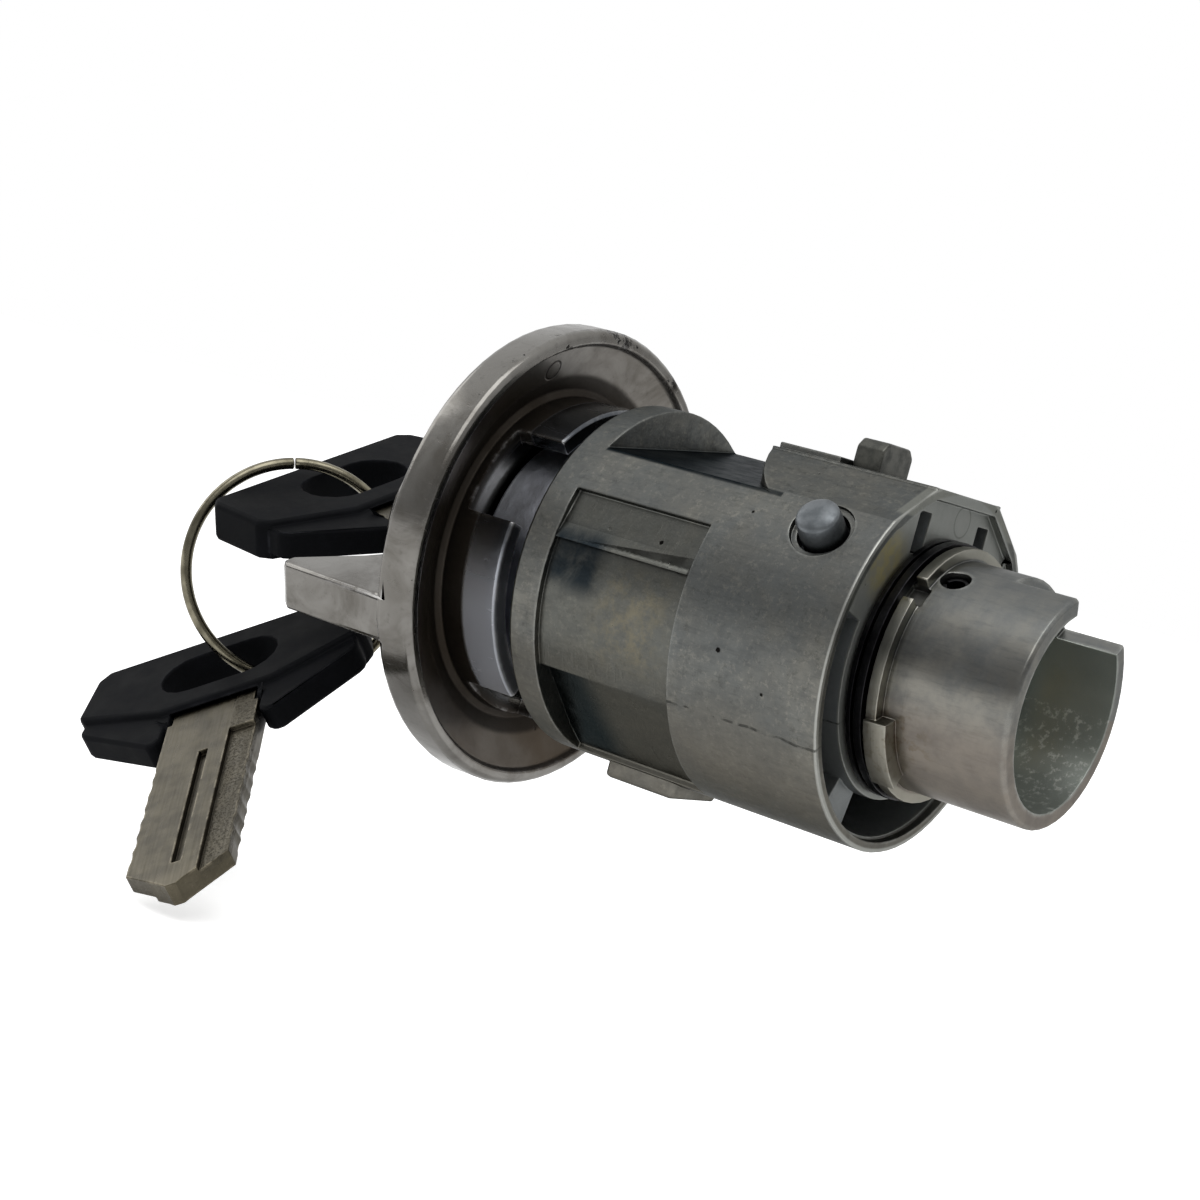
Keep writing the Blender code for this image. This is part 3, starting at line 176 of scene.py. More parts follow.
class Finish:
    """One material and the few kinds of node that the finishes here are mixed from."""

    def __init__(self, name, metallic=0.0):
        self.material = bpy.data.materials.new(name)
        self.material.use_nodes = True
        self.tree = self.material.node_tree
        self.shader = self.tree.nodes["Principled BSDF"]
        self.shader.inputs["Metallic"].default_value = metallic
        self.coordinates = self.tree.nodes.new("ShaderNodeTexCoord").outputs["Object"]

    def node(self, kind, inputs, output=0, **settings):
        made = self.tree.nodes.new("ShaderNode" + kind)
        for name, value in settings.items():
            setattr(made, name, value)
        for key, value in inputs.items():
            self.feed(made.inputs[key], value)
        return made.outputs[output]

    def feed(self, socket, value):
        if isinstance(value, bpy.types.NodeSocket):
            self.tree.links.new(value, socket)
        else:
            socket.default_value = value

    def placed(self, location, turn):
        """Coordinates seen from a frame at a location, turned by Euler angles."""
        return self.node("Mapping", {"Vector": self.coordinates, "Location": location, "Rotation": turn},
                         vector_type="TEXTURE")

    def stretched(self, scale, source=None):
        """Coordinates scaled on each axis, which draws a noise out along the smallest."""
        return self.node("Mapping", {"Vector": source or self.coordinates, "Scale": scale})

    def noise(self, scale, detail=4.0, roughness=0.55, vector=None, distortion=0.0):
        return self.node("TexNoise", {"Vector": vector or self.coordinates, "Scale": scale, "Detail": detail,
                                      "Roughness": roughness, "Distortion": distortion})

    def cells(self, scale):
        return self.node("TexVoronoi", {"Vector": self.coordinates, "Scale": scale})

    def math(self, operation, first, second=0.0, clamp=False):
        return self.node("Math", {0: first, 1: second}, operation=operation, use_clamp=clamp)

    def times(self, first, *others):
        product = first
        for other in others:
            product = self.math("MULTIPLY", product, other)
        return product

    def outside(self, mask):
        """The share that a mask leaves."""
        return self.math("SUBTRACT", 1.0, mask)

    def ramp(self, value, low, high, out_low=0.0, out_high=1.0):
        """Smooth step between two values."""
        return self.node("MapRange", {"Value": value, "From Min": low, "From Max": high, "To Min": out_low,
                                      "To Max": out_high}, interpolation_type="SMOOTHSTEP")

    def span(self, value, low, high, soft):
        """1 between two values, 0 outside them."""
        rise = self.ramp(value, low - soft, low + soft)
        fall = self.ramp(value, high - soft, high + soft, 1.0, 0.0)
        return self.times(rise, fall)

    def mixed(self, factor, first, second):
        made = self.tree.nodes.new("ShaderNodeMix")
        made.data_type = "RGBA"
        self.feed(made.inputs[0], factor)
        self.feed(made.inputs[6], first)
        self.feed(made.inputs[7], second)
        return made.outputs[2]

    def axes(self, source=None):
        split = self.tree.nodes.new("ShaderNodeSeparateXYZ")
        self.feed(split.inputs[0], source or self.coordinates)
        return split.outputs

    def reach(self, point):
        """Distance from a point."""
        return self.node("VectorMath", {0: self.coordinates, 1: point}, output="Value", operation="DISTANCE")

    def near(self, point, radius, soft):
        """1 within a radius of a point."""
        return self.ramp(self.reach(point), radius - soft, radius + soft, 1.0, 0.0)

    def crevice(self, distance):
        """1 in the open, towards 0 in a corner."""
        return self.node("AmbientOcclusion", {"Distance": distance}, output="AO", samples=CORNER_SAMPLES)

    def rubbed(self, distance):
        """1 along outer edges, where hands and neighbours rub, 0 on open faces."""
        inner = self.node("AmbientOcclusion", {"Distance": distance}, output="AO", samples=CORNER_SAMPLES,
                          inside=True)
        return self.ramp(inner, RUBBED_FULL, RUBBED_NONE, 1.0, 0.0)

    def bump(self, height, distance, strength=1.0, under=None):
        inputs = {"Height": height, "Distance": distance, "Strength": strength}
        if under is not None:
            inputs["Normal"] = under
        return self.node("Bump", inputs)

    def coat(self, colour, roughness, normal):
        self.feed(self.shader.inputs["Base Color"], colour)
        self.feed(self.shader.inputs["Roughness"], roughness)
        self.feed(self.shader.inputs["Normal"], normal)
        return self.material


def polar_parts(finish):
    """Level, radius and polar angle about the lock's axis."""
    level, across, up = finish.axes()
    squares = finish.math("ADD", finish.times(across, across), finish.times(up, up))
    radius = finish.math("SQRT", squares)
    angle = finish.math("ARCTAN2", up, finish.times(across, -1.0))
    return level, radius, angle


def zinc_ground(f, angle):
    """The casting's mottled grey, warmer on its underside. Also gives its clouds and smudges."""
    patches = f.noise(130.0, 5.0, 0.6, distortion=0.5)
    clouds = f.noise(520.0, 6.0, 0.7)
    speckle = f.noise(1700.0, 5.0, 0.75)
    warm = f.mixed(f.ramp(patches, 0.35, 0.65), tone(105, 107, 105), tone(113, 112, 106))
    streaks = f.noise(1.0, 4.0, 0.7, vector=f.stretched((420.0, 2400.0, 2400.0)))
    warm = f.mixed(f.ramp(streaks, 0.45, 0.75, 0.0, 0.55), warm, tone(80, 81, 79))
    colour = f.mixed(f.ramp(clouds, 0.35, 0.72, 0.0, 0.5), warm, tone(88, 90, 90))
    colour = f.mixed(f.ramp(speckle, 0.50, 0.70, 0.0, 0.6), colour, tone(136, 134, 126))
    grime = f.ramp(f.noise(950.0, 5.0, 0.75), 0.54, 0.70, 0.0, 0.45)
    colour = f.mixed(grime, colour, tone(66, 67, 64))
    smudge = f.ramp(f.noise(170.0, 4.0, 0.7, distortion=1.0), 0.56, 0.74, 0.0, 0.25)
    colour = f.mixed(smudge, colour, tone(74, 75, 74))
    broad = f.ramp(f.noise(75.0, 3.0, 0.6, distortion=0.6), 0.42, 0.62, 0.0, 0.35)
    colour = f.mixed(broad, colour, tone(82, 85, 86))
    colour = f.mixed(f.ramp(angle, radians(-50), radians(-14), 0.35, 0.0), colour, tone(120, 113, 100))
    return colour, clouds, smudge


def waist_stains(f, colour, level, angle):
    """Tints on the worked faces of the waist, darker just behind the collar and yellow by the band, with painted
    shade along the step at the waist's end.

    Also gives the whole waist and its worked faces.
    """
    waist = f.span(level, COLLAR_REAR, WAIST_END, 0.0001)
    near = f.span(angle, WAIST_LOW, WAIST_HIGH, 0.01)
    worked = f.times(waist, near)
    colour = f.mixed(f.times(worked, 0.5), colour, tone(80, 80, 74))
    # A darker blue-grey patch on the waist just behind the collar
    dark_by_collar = f.times(f.span(level, *COLLAR_DARK_LEVELS, 0.0011), f.span(angle, *COLLAR_DARK_ANGLES, 0.07))
    dark_by_collar = f.times(dark_by_collar, f.ramp(f.noise(260.0, 4.0, 0.6, distortion=0.6), 0.30, 0.55, 0.55, 1.0))
    colour = f.mixed(f.times(dark_by_collar, worked, 0.95), colour, tone(34, 41, 46))
    yellow = f.times(f.span(level, *YELLOW_LEVELS, 0.002), f.span(angle, *YELLOW_ANGLES, 0.12))
    yellow = f.times(yellow, f.ramp(f.noise(620.0, 5.0, 0.7), 0.38, 0.66))
    colour = f.mixed(f.times(yellow, worked, 0.45), colour, tone(124, 116, 94))
    low = f.span(angle, *LOW_ANGLES, 0.015)
    colour = f.mixed(f.times(low, worked, 0.45), colour, tone(74, 72, 66))
    cool = f.times(low, worked, f.ramp(level, 0.0135, 0.0175, 1.0, 0.0))
    colour = f.mixed(f.times(cool, 0.8), colour, tone(46, 52, 54))
    # Painted shade: a dark line along the step where the waist meets the band
    edge_shade = f.span(level, WAIST_END - 0.00016, WAIST_END + 0.00004, 0.00005)
    colour = f.mixed(f.times(edge_shade, near, 0.7), colour, tone(44, 43, 40))
    return colour, waist, worked


def spigot_and_flat(f, colour, level):
    """Painted light on the spigot under the knob, which is painted near-white, and painted shade on the flat on
    top of the waist.
    """
    # Painted light: the spigot is painted near-white, as if brightly lit
    spigot_light = f.ramp(level, COLLAR_FRONT - 0.0004, COLLAR_FRONT, 1.0, 0.0)
    colour = f.mixed(spigot_light, colour, tone(196, 200, 210))
    height = f.node("VectorMath", {0: f.coordinates, 1: TOP_FLAT_NORMAL}, output="Value", operation="DOT_PRODUCT")
    flat = f.times(f.span(height, TOP_FLAT_HEIGHT - 0.0002, TOP_FLAT_HEIGHT + 0.0002, 0.0001),
                   f.span(level, COLLAR_REAR, PAD_END, 0.0001))
    shaded = f.times(flat, f.ramp(f.noise(210.0, 4.0, 0.6), 0.30, 0.60, 0.80, 1.0))
    return f.mixed(shaded, colour, tone(34, 38, 40))


def rear_marks(f, colour, level, radius):
    """Pale cored pockets, and the rear land with a yellowed spot, an ejector ring and a painted highlight along
    the rim.

    Also gives the land.
    """
    core = f.times(f.ramp(radius, *LAND_EDGE, 1.0, 0.0), f.ramp(level, 0.026, 0.028))
    colour = f.mixed(f.times(core, 0.7), colour, tone(126, 131, 133))
    f.feed(f.shader.inputs["Metallic"], f.outside(f.times(core, 0.35)))
    land = f.math("MAXIMUM", f.ramp(radius, *LAND_EDGE, 1.0, 0.0), f.ramp(f.axes()[2], 0.0128, 0.0131))
    rear = f.times(f.ramp(level, REAR_FACE - 0.0003, REAR_FACE - 0.0001), land)
    colour = f.mixed(f.times(rear, 0.6), colour, tone(140, 141, 134))
    yellowed = f.near(YELLOW_SPOT, 0.0026, 0.0016)
    blotch = f.times(yellowed, f.ramp(f.noise(900.0, 4.0), 0.35, 0.6, 0.4, 0.9))
    colour = f.mixed(f.times(rear, blotch), colour, tone(158, 149, 108))
    mark = f.reach(EJECTOR_REAR)
    ring = f.times(f.span(mark, 0.00135, 0.00150, 0.00008), rear)
    colour = f.mixed(f.times(ring, 0.5), colour, tone(60, 60, 56))
    # Painted highlight: a thin bright line along the rear rim
    rim_highlight = f.times(f.ramp(level, HOUSING_REAR - 0.00028, HOUSING_REAR - 0.00014),
                  f.ramp(radius, 0.0166, 0.0168))
    colour = f.mixed(f.times(rim_highlight, 0.8), colour, tone(168, 169, 164))
    return colour, rear


def zinc_casting():
    """Satin die-cast zinc: fine mottling, stains and darker tints on the waist, a parting line, black pits,
    rubbed edges, and painted light: a near-white spigot, shade on the top flat, in corners and along the waist's
    step, and a highlight along the rear rim.
    """
    f = Finish("zinc_casting", 1.0)
    f.shader.inputs["Specular Tint"].default_value = ZINC_AT_GRAZING
    level, radius, angle = polar_parts(f)
    colour, clouds, smudge = zinc_ground(f, angle)
    colour, waist, worked = waist_stains(f, colour, level, angle)
    colour = spigot_and_flat(f, colour, level)
    colour, rear = rear_marks(f, colour, level, radius)
    pits = f.times(f.ramp(f.cells(330.0), 0.040, 0.070, 1.0, 0.0), f.ramp(f.noise(60.0), 0.54, 0.6))
    for place, size in PITS:
        pits = f.math("MAXIMUM", pits, f.near(place, size, 0.00006))
    colour = f.mixed(pits, colour, tone(20, 19, 18))
    wear = f.times(f.rubbed(0.0003), f.ramp(f.noise(480.0, 4.0, 0.7), 0.40, 0.60, 0.1, 0.60))
    wear = f.times(wear, f.outside(waist))
    colour = f.mixed(wear, colour, tone(158, 159, 154))
    # Painted shade: darker where ambient occlusion finds corners and gaps between parts, less on the rear land
    corner_shade = f.ramp(f.crevice(0.0012), 0.10, 0.65, 0.60, 0.0)
    corner_shade = f.times(corner_shade, f.outside(f.times(rear, 0.6)))
    colour = f.mixed(corner_shade, colour, tone(34, 33, 30))
    band = f.span(level, WAIST_END, HOUSING_REAR, 0.0001)
    wander = f.times(f.math("SUBTRACT", f.noise(300.0, 2.0), 0.5), 0.05)
    off_line = f.math("ABSOLUTE", f.math("SUBTRACT", angle, f.math("ADD", wander, PARTING_ANGLE)))
    parting = f.times(f.ramp(off_line, 0.004, 0.010, 1.0, 0.0), band)
    broken = f.times(parting, f.ramp(f.noise(700.0), 0.42, 0.58))
    colour = f.mixed(f.times(broken, 0.8), colour, tone(60, 60, 57))
    scratches = f.noise(1.0, 3.0, 0.65, vector=f.stretched((2600.0, 240.0, 240.0)))
    roughness = f.ramp(clouds, 0.3, 0.8, 0.34, 0.50)
    roughness = f.math("SUBTRACT", roughness, f.times(worked, 0.07))
    roughness = f.math("ADD", roughness, f.times(smudge, 0.12), clamp=True)
    waves = f.bump(f.noise(260.0, 4.0, 0.55), 0.00013, 0.7)
    skin = f.bump(f.noise(2600.0, 4.0, 0.65), 0.000028, 0.6, waves)
    fine = f.bump(f.times(f.ramp(scratches, 0.52, 0.7), worked), -0.000012, 0.7, skin)
    seam = f.bump(broken, 0.00005, 0.7, fine)
    return f.coat(colour, roughness, f.bump(pits, -0.0001, 1.0, seam))


def dish_film(f, colour, level, radius, angle):
    """Painted brown reflection in the knob's dished back, lighter at the top, and painted shade darkest round the
    skirt's root. Also gives the dish and the root.
    """
    back = f.times(f.ramp(level, -0.0034, -0.0028), f.ramp(level, 0.0001, 0.0005, 1.0, 0.0))
    facing = f.tree.nodes.new("ShaderNodeTexCoord").outputs["Normal"]
    back = f.times(back, f.ramp(f.axes(facing)[0], -0.3, 0.1))
    dish = f.times(back, f.span(radius, *DISH, 0.0003))
    top = f.times(f.span(angle, radians(52), radians(150), 0.30), f.ramp(radius, 0.0168, 0.0188))
    reflection_share = f.outside(f.times(top, 0.75))
    # Painted reflection: the dish is painted brown, less at its top, standing in for the room it reflects
    brown_reflection = f.times(dish, reflection_share, f.ramp(f.noise(120.0, 3.0), 0.3, 0.7, 0.70, 1.0))
    colour = f.mixed(brown_reflection, colour, tone(82, 73, 63))
    # Painted shade round the skirt's root
    root_shade = f.times(f.span(radius, *SKIRT_ROOT, 0.0003), back)
    return f.mixed(f.times(root_shade, 0.75), colour, tone(32, 28, 24)), dish, root_shade


def skirt_shine(f, colour, level, radius, angle):
    """The polished skirt, white and less metallic below, with painted shade on its upper side and on its dull end
    by the collar. Also gives the skirt and that end's shade.
    """
    skirt = f.times(f.ramp(level, 0.0001, 0.0006), f.span(radius, *SKIRT, 0.0002))
    colour = f.mixed(skirt, colour, tone(158, 161, 168))
    bright = f.times(skirt, f.ramp(angle, radians(-26), radians(6), 0.55, 0.0))
    f.feed(f.shader.inputs["Metallic"], f.outside(bright))
    # Painted shade on the skirt's upper side
    upper_shade = f.times(skirt, f.ramp(angle, radians(-14), radians(14)))
    colour = f.mixed(f.times(upper_shade, 0.85), colour, tone(46, 50, 54))
    # Painted shade on the skirt's end beside the gap to the collar, left off on its upper part
    edge_shade = f.times(skirt, f.ramp(level, *SKIRT_END))
    edge_shade = f.times(edge_shade, f.ramp(angle, radians(20), radians(38), 0.85, 0.0))
    return f.mixed(edge_shade, colour, tone(46, 47, 48)), skirt, edge_shade


def plating_pits(f, level, radius):
    """Pits, and chips along the rim's lip where the plating came off."""
    pits = f.times(f.ramp(f.cells(520.0), 0.08, 0.13, 1.0, 0.0), f.ramp(f.noise(90.0), 0.62, 0.66))
    lip = f.times(f.ramp(radius, *RIM_LIP), f.ramp(level, -0.0016, -0.0006))
    worn = f.math("MAXIMUM", f.near(CHIP_TOP, 0.0024, 0.0010), f.near(CHIP_FAR, 0.0011, 0.0006))
    bite = f.ramp(f.noise(620.0, 5.0, 0.75), 0.50, 0.55)
    few = f.ramp(f.noise(420.0, 4.0, 0.7), 0.66, 0.69)
    chips = f.times(lip, f.math("MAXIMUM", f.times(worn, bite), few))
    return f.math("MAXIMUM", pits, chips)


def bezel_plating():
    """Bright plating on a cast knob: painted brown reflection in the dish, polished skirt with painted shade,
    pits, chipped rim, ejector mark, painted shade in the rim's groove and corners.
    """
    f = Finish("bezel_plating", 1.0)
    level, radius, angle = polar_parts(f)
    haze = f.noise(150.0, 4.0, 0.6, distortion=0.8)
    fine = f.noise(1300.0, 5.0, 0.7)
    colour = f.mixed(f.ramp(haze, 0.35, 0.7), tone(128, 126, 122), tone(98, 95, 90))
    colour = f.mixed(f.ramp(fine, 0.55, 0.75, 0.0, 0.4), colour, tone(76, 73, 69))
    colour, dish, root_shade = dish_film(f, colour, level, radius, angle)
    colour, skirt, edge_shade = skirt_shine(f, colour, level, radius, angle)
    mark = f.reach(EJECTOR_KNOB)
    ring = f.times(f.span(mark, 0.00095, 0.00115, 0.00006), dish)
    inner = f.times(f.ramp(mark, 0.0009, 0.0010, 1.0, 0.0), dish)
    colour = f.mixed(f.times(ring, 0.75), colour, tone(40, 35, 31))
    colour = f.mixed(f.times(inner, 0.25), colour, tone(70, 64, 58))
    pits = plating_pits(f, level, radius)
    colour = f.mixed(pits, colour, tone(22, 19, 17))
    # Painted shade: a dark line in the groove between the rim and the dish
    groove_shade = f.times(f.span(radius, *RIM_LINE, 0.00008), f.ramp(level, -0.0012, -0.0008))
    colour = f.mixed(f.times(groove_shade, 0.6), colour, tone(20, 18, 17))
    wear = f.times(f.rubbed(0.0005), f.ramp(f.noise(380.0, 4.0, 0.7), 0.42, 0.62, 0.0, 0.6))
    colour = f.mixed(wear, colour, tone(176, 175, 174))
    # Painted shade: darker in corners where ambient occlusion is high, less on the skirt
    corner_shade = f.ramp(f.crevice(0.0020), 0.15, 0.75, 0.8, 0.0)
    colour = f.mixed(f.times(corner_shade, f.outside(f.times(skirt, 0.7))), colour, tone(28, 24, 21))
    scratches = f.noise(1.0, 3.0, 0.6, vector=f.stretched((300.0, 2600.0, 2600.0)))
    roughness = f.ramp(haze, 0.3, 0.8, 0.15, 0.28)
    roughness = f.math("ADD", roughness, f.times(f.ramp(scratches, 0.55, 0.75), 0.10))
    roughness = f.math("ADD", roughness, f.times(dish, 0.14), clamp=True)
    roughness = f.math("ADD", roughness, f.times(root_shade, 0.2), clamp=True)
    roughness = f.math("ADD", roughness, f.times(edge_shade, 0.3), clamp=True)
    waves = f.bump(f.noise(140.0, 2.0), 0.00014, 0.5)
    lines = f.bump(scratches, 0.00001, 0.6, waves)
    ringed = f.bump(ring, -0.00005, 0.8, lines)
    return f.coat(colour, roughness, f.bump(pits, -0.00012, 1.0, ringed))


def turned_sleeve():
    """Turned sleeve: rings left by the tool, rubbed bands, frosted crystals inside the bore."""
    f = Finish("turned_sleeve", 1.0)
    f.shader.inputs["Specular Tint"].default_value = SLEEVE_AT_GRAZING
    level, radius, angle = polar_parts(f)
    clouds = f.noise(340.0, 6.0, 0.68)
    streaks = f.noise(1.0, 4.0, 0.7, vector=f.stretched((300.0, 2000.0, 2000.0)))
    colour = f.mixed(f.ramp(clouds, 0.32, 0.7), tone(130, 128, 121), tone(109, 110, 108))
    colour = f.mixed(f.ramp(streaks, 0.45, 0.75, 0.0, 0.4), colour, tone(82, 83, 81))
    colour = f.mixed(f.ramp(angle, radians(-28), radians(-4), 0.45, 0.0), colour, tone(126, 114, 103))
    colour = f.mixed(f.ramp(angle, radians(18), radians(50), 0.0, 0.35), colour, tone(100, 106, 109))
    wear = f.times(f.rubbed(0.0005), f.ramp(f.noise(520.0, 4.0, 0.7), 0.40, 0.60, 0.1, 0.65))
    colour = f.mixed(wear, colour, tone(170, 171, 166))
    flange = f.times(f.ramp(radius, *SLEEVE_FLANGE), f.ramp(level, *FLANGE_END, 1.0, 0.0))
    colour = f.mixed(f.times(flange, 0.7), colour, tone(152, 150, 139))
    inside = f.ramp(radius, *SLEEVE_BORE, 1.0, 0.0)
    frost = f.ramp(f.noise(1500.0, 5.0, 0.7), 0.52, 0.66)
    lower = f.ramp(angle, radians(-20), radians(10), 1.0, 0.0)
    spangle = f.times(inside, lower, frost)
    colour = f.mixed(inside, colour, tone(134, 139, 133))
    colour = f.mixed(f.times(spangle, 0.5), colour, tone(200, 202, 196))
    f.feed(f.shader.inputs["Metallic"], f.outside(f.times(inside, 0.35)))
    shade = f.times(f.span(angle, radians(2), radians(26), 0.12), f.ramp(radius, 0.0100, 0.0102))
    shade = f.times(shade, f.ramp(f.noise(190.0, 4.0, 0.6), 0.32, 0.6))
    colour = f.mixed(f.times(shade, 0.4), colour, tone(62, 66, 70))
    rust = f.times(f.near(RUST_SPOT, 0.0034, 0.0026), f.ramp(f.noise(1100.0, 4.0), 0.5, 0.65))
    colour = f.mixed(f.times(rust, 0.5), colour, tone(96, 84, 66))
    # Painted shade: darker in corners where ambient occlusion is high
    corner_shade = f.ramp(f.crevice(0.0011), 0.15, 0.65, 0.65, 0.0)
    colour = f.mixed(corner_shade, colour, tone(33, 31, 29))
    rings = f.noise(1.0, 4.0, 0.6, vector=f.stretched((5200.0, 90.0, 90.0)))
    roughness = f.ramp(clouds, 0.3, 0.8, 0.28, 0.44)
    roughness = f.math("ADD", roughness, f.times(spangle, 0.12), clamp=True)
    tool = f.bump(rings, 0.000012, 0.7)
    return f.coat(colour, roughness, f.bump(f.noise(320.0, 3.0), 0.00008, 0.35, tool))


def plain_steel(name, light, dark, rough):
    """Small steel parts: even colour with fine rubbing and painted shade in the corners."""
    f = Finish(name, 1.0)
    clouds = f.noise(700.0, 4.0, 0.6)
    colour = f.mixed(f.ramp(clouds, 0.35, 0.7), light, dark)
    # Painted shade: darker in corners where ambient occlusion is high
    corner_shade = f.ramp(f.crevice(0.0010), 0.2, 0.8, 0.8, 0.0)
    colour = f.mixed(corner_shade, colour, tone(22, 21, 20))
    roughness = f.ramp(clouds, 0.3, 0.8, rough - 0.06, rough + 0.08)
    return f.coat(colour, roughness, f.bump(f.noise(2400.0, 4.0), 0.00001, 0.6))


def nickel_blade(name, location, turn):
    """Nickel-plated blade: worn warm plating, painted shade in the groove, a pitted milled step."""
    f = Finish(name, 1.0)
    local = f.placed(location, turn)
    along, across, up = f.axes(local)
    clouds = f.noise(330.0, 5.0, 0.6, vector=local)
    colour = f.mixed(f.ramp(clouds, 0.35, 0.7), tone(86, 81, 68), tone(66, 62, 52))
    side = f.times(f.math("SIGN", up), across)
    step = f.ramp(side, 0.00238, 0.00246)
    pitted = f.times(step, f.ramp(f.noise(3200.0, 4.0, 0.7, vector=local), 0.50, 0.66))
    colour = f.mixed(f.times(step, 0.35), colour, tone(80, 76, 67))
    colour = f.mixed(f.times(pitted, 0.5), colour, tone(60, 56, 48))
    wear = f.times(f.rubbed(0.0003), f.ramp(f.noise(700.0, 4.0, vector=local), 0.42, 0.62, 0.0, 0.7))
    colour = f.mixed(wear, colour, tone(150, 142, 124))
    worn = f.ramp(along, 0.0236, 0.0262)
    colour = f.mixed(f.times(worn, 0.4), colour, tone(100, 94, 80))
    # Painted shade: darker in the groove and other corners where ambient occlusion is high
    corner_shade = f.ramp(f.crevice(0.0009), 0.35, 0.9, 0.95, 0.0)
    colour = f.mixed(corner_shade, colour, tone(26, 22, 18))
    scratches = f.noise(1.0, 3.0, 0.6, vector=f.stretched((180.0, 3600.0, 3600.0), local))
    roughness = f.ramp(scratches, 0.3, 0.75, 0.27, 0.45)
    roughness = f.math("ADD", roughness, f.times(step, 0.08), clamp=True)
    lines = f.bump(scratches, 0.000012, 0.7)
    return f.coat(colour, roughness, f.bump(pitted, -0.00004, 0.8, lines))


def black_moulding(name, location, turn):
    """Near-black moulded plastic: fine spark grain, rubbed edges, faint dust."""
    f = Finish(name, 0.0)
    f.shader.inputs["Specular IOR Level"].default_value = MOULDING_SHINE
    local = f.placed(location, turn)
    dust = f.noise(260.0, 5.0, 0.65, vector=local)
    colour = f.mixed(f.ramp(dust, 0.4, 0.75), tone(14, 15, 17), tone(20, 21, 24))
    wear = f.times(f.rubbed(0.0004), f.ramp(f.noise(420.0, 4.0, vector=local), 0.45, 0.65, 0.1, 0.5))
    colour = f.mixed(wear, colour, tone(46, 47, 51))
    roughness = f.ramp(dust, 0.3, 0.75, 0.50, 0.66)
    grain = f.bump(f.noise(5200.0, 3.0, 0.7, vector=local), 0.00002, 0.7)
    return f.coat(colour, roughness, f.bump(f.noise(240.0, 2.0, vector=local), 0.00005, 0.3, grain))


def wire_plating():
    """Drawn nickel wire of the key ring, slightly yellow."""
    f = Finish("wire_plating", 1.0)
    clouds = f.noise(600.0, 3.0)
    colour = f.mixed(f.ramp(clouds, 0.35, 0.7), tone(134, 129, 112), tone(98, 94, 80))
    roughness = f.ramp(clouds, 0.3, 0.8, 0.20, 0.32)
    return f.coat(colour, roughness, f.bump(f.noise(1800.0), 0.00001, 0.5))


def machined_brass():
    """Turned brass of the plug and its wafers, with the tool's rings."""
    f = Finish("machined_brass", 1.0)
    clouds = f.noise(500.0, 4.0)
    colour = f.mixed(f.ramp(clouds, 0.35, 0.7), tone(196, 170, 108), tone(160, 134, 82))
    rings = f.noise(1.0, 3.0, 0.6, vector=f.stretched((4800.0, 90.0, 90.0)))
    return f.coat(colour, f.ramp(clouds, 0.3, 0.8, 0.28, 0.40), f.bump(rings, 0.00001, 0.6))


def merged_copy(name, node):
    """A welded copy of a node's mesh, with its flat faces made whole again."""
    mesh = frame["nodes"][node].data.copy()
    mesh.name = name
    work = bmesh.new()
    work.from_mesh(mesh)
    bmesh.ops.remove_doubles(work, verts=work.verts, dist=0.000001)
    bmesh.ops.dissolve_limit(work, angle_limit=FLAT_WITHIN, verts=work.verts, edges=work.edges)
    bmesh.ops.dissolve_degenerate(work, edges=work.edges, dist=WELD)
    if node == "housing":
        close_sliver(work)
    work.to_mesh(mesh)
    work.free()
    mesh.materials.clear()
    return mesh


def close_sliver(work):
    """Joins the strip of a tenth of a millimetre between the side panel's lower wall and the next facet."""
    strip = []
    for vertex in work.verts:
        level, across, up = vertex.co
        if PANEL_START < level < PANEL_END and SLIVER_LOW < atan2(up, -across) < SLIVER_HIGH:
            strip.append(vertex)
    bmesh.ops.remove_doubles(work, verts=strip, dist=SLIVER_WIDTH)
    bmesh.ops.dissolve_degenerate(work, edges=work.edges, dist=WELD)


def made_piece(name, mesh, material):
    piece = bpy.data.objects.new(name, mesh)
    bpy.context.scene.collection.objects.link(piece)
    piece.data.materials.append(material)
    return piece


def softened(piece, width, angle=ROUND_FROM):
    """Small rounds along the piece's sharp edges, and smooth shading between them."""
    bevel = piece.modifiers.new("edge_rounds", "BEVEL")
    bevel.width = width
    bevel.segments = ROUND_SEGMENTS
    bevel.limit_method = "ANGLE"
    bevel.angle_limit = radians(angle)
    bevel.use_clamp_overlap = False
    bevel.miter_outer = "MITER_ARC"
    settled(piece)
    smooth(piece)
    even = piece.modifiers.new("even_shading", "WEIGHTED_NORMAL")
    even.keep_sharp = True
    settled(piece)


def smooth(piece):
    piece.data.shade_smooth()
    piece.data.set_sharp_from_angle(angle=SMOOTH_ANGLE)


def settled(piece):
    """The piece's modifiers turned into its plain mesh."""
    mesh = bpy.data.meshes.new_from_object(piece.evaluated_get(bpy.context.evaluated_depsgraph_get()))
    piece.modifiers.clear()
    piece.data = mesh


def worn_notches(mesh, location, turn):
    """A blade's key notches, worn until little of their depth is left."""
    place = Matrix.Translation(location) @ Euler(turn).to_matrix().to_4x4()
    back = place.inverted()
    for vertex in mesh.vertices:
        point = back @ vertex.co
        depth = BLADE_HALF - abs(point.y)
        if NOTCHES_START < point.x < NOTCHES_END and 0.0 < depth < NOTCH_DEEPEST:
            point.y += depth * NOTCH_WEAR * (1.0 if point.y > 0 else -1.0)
            vertex.co = place @ point


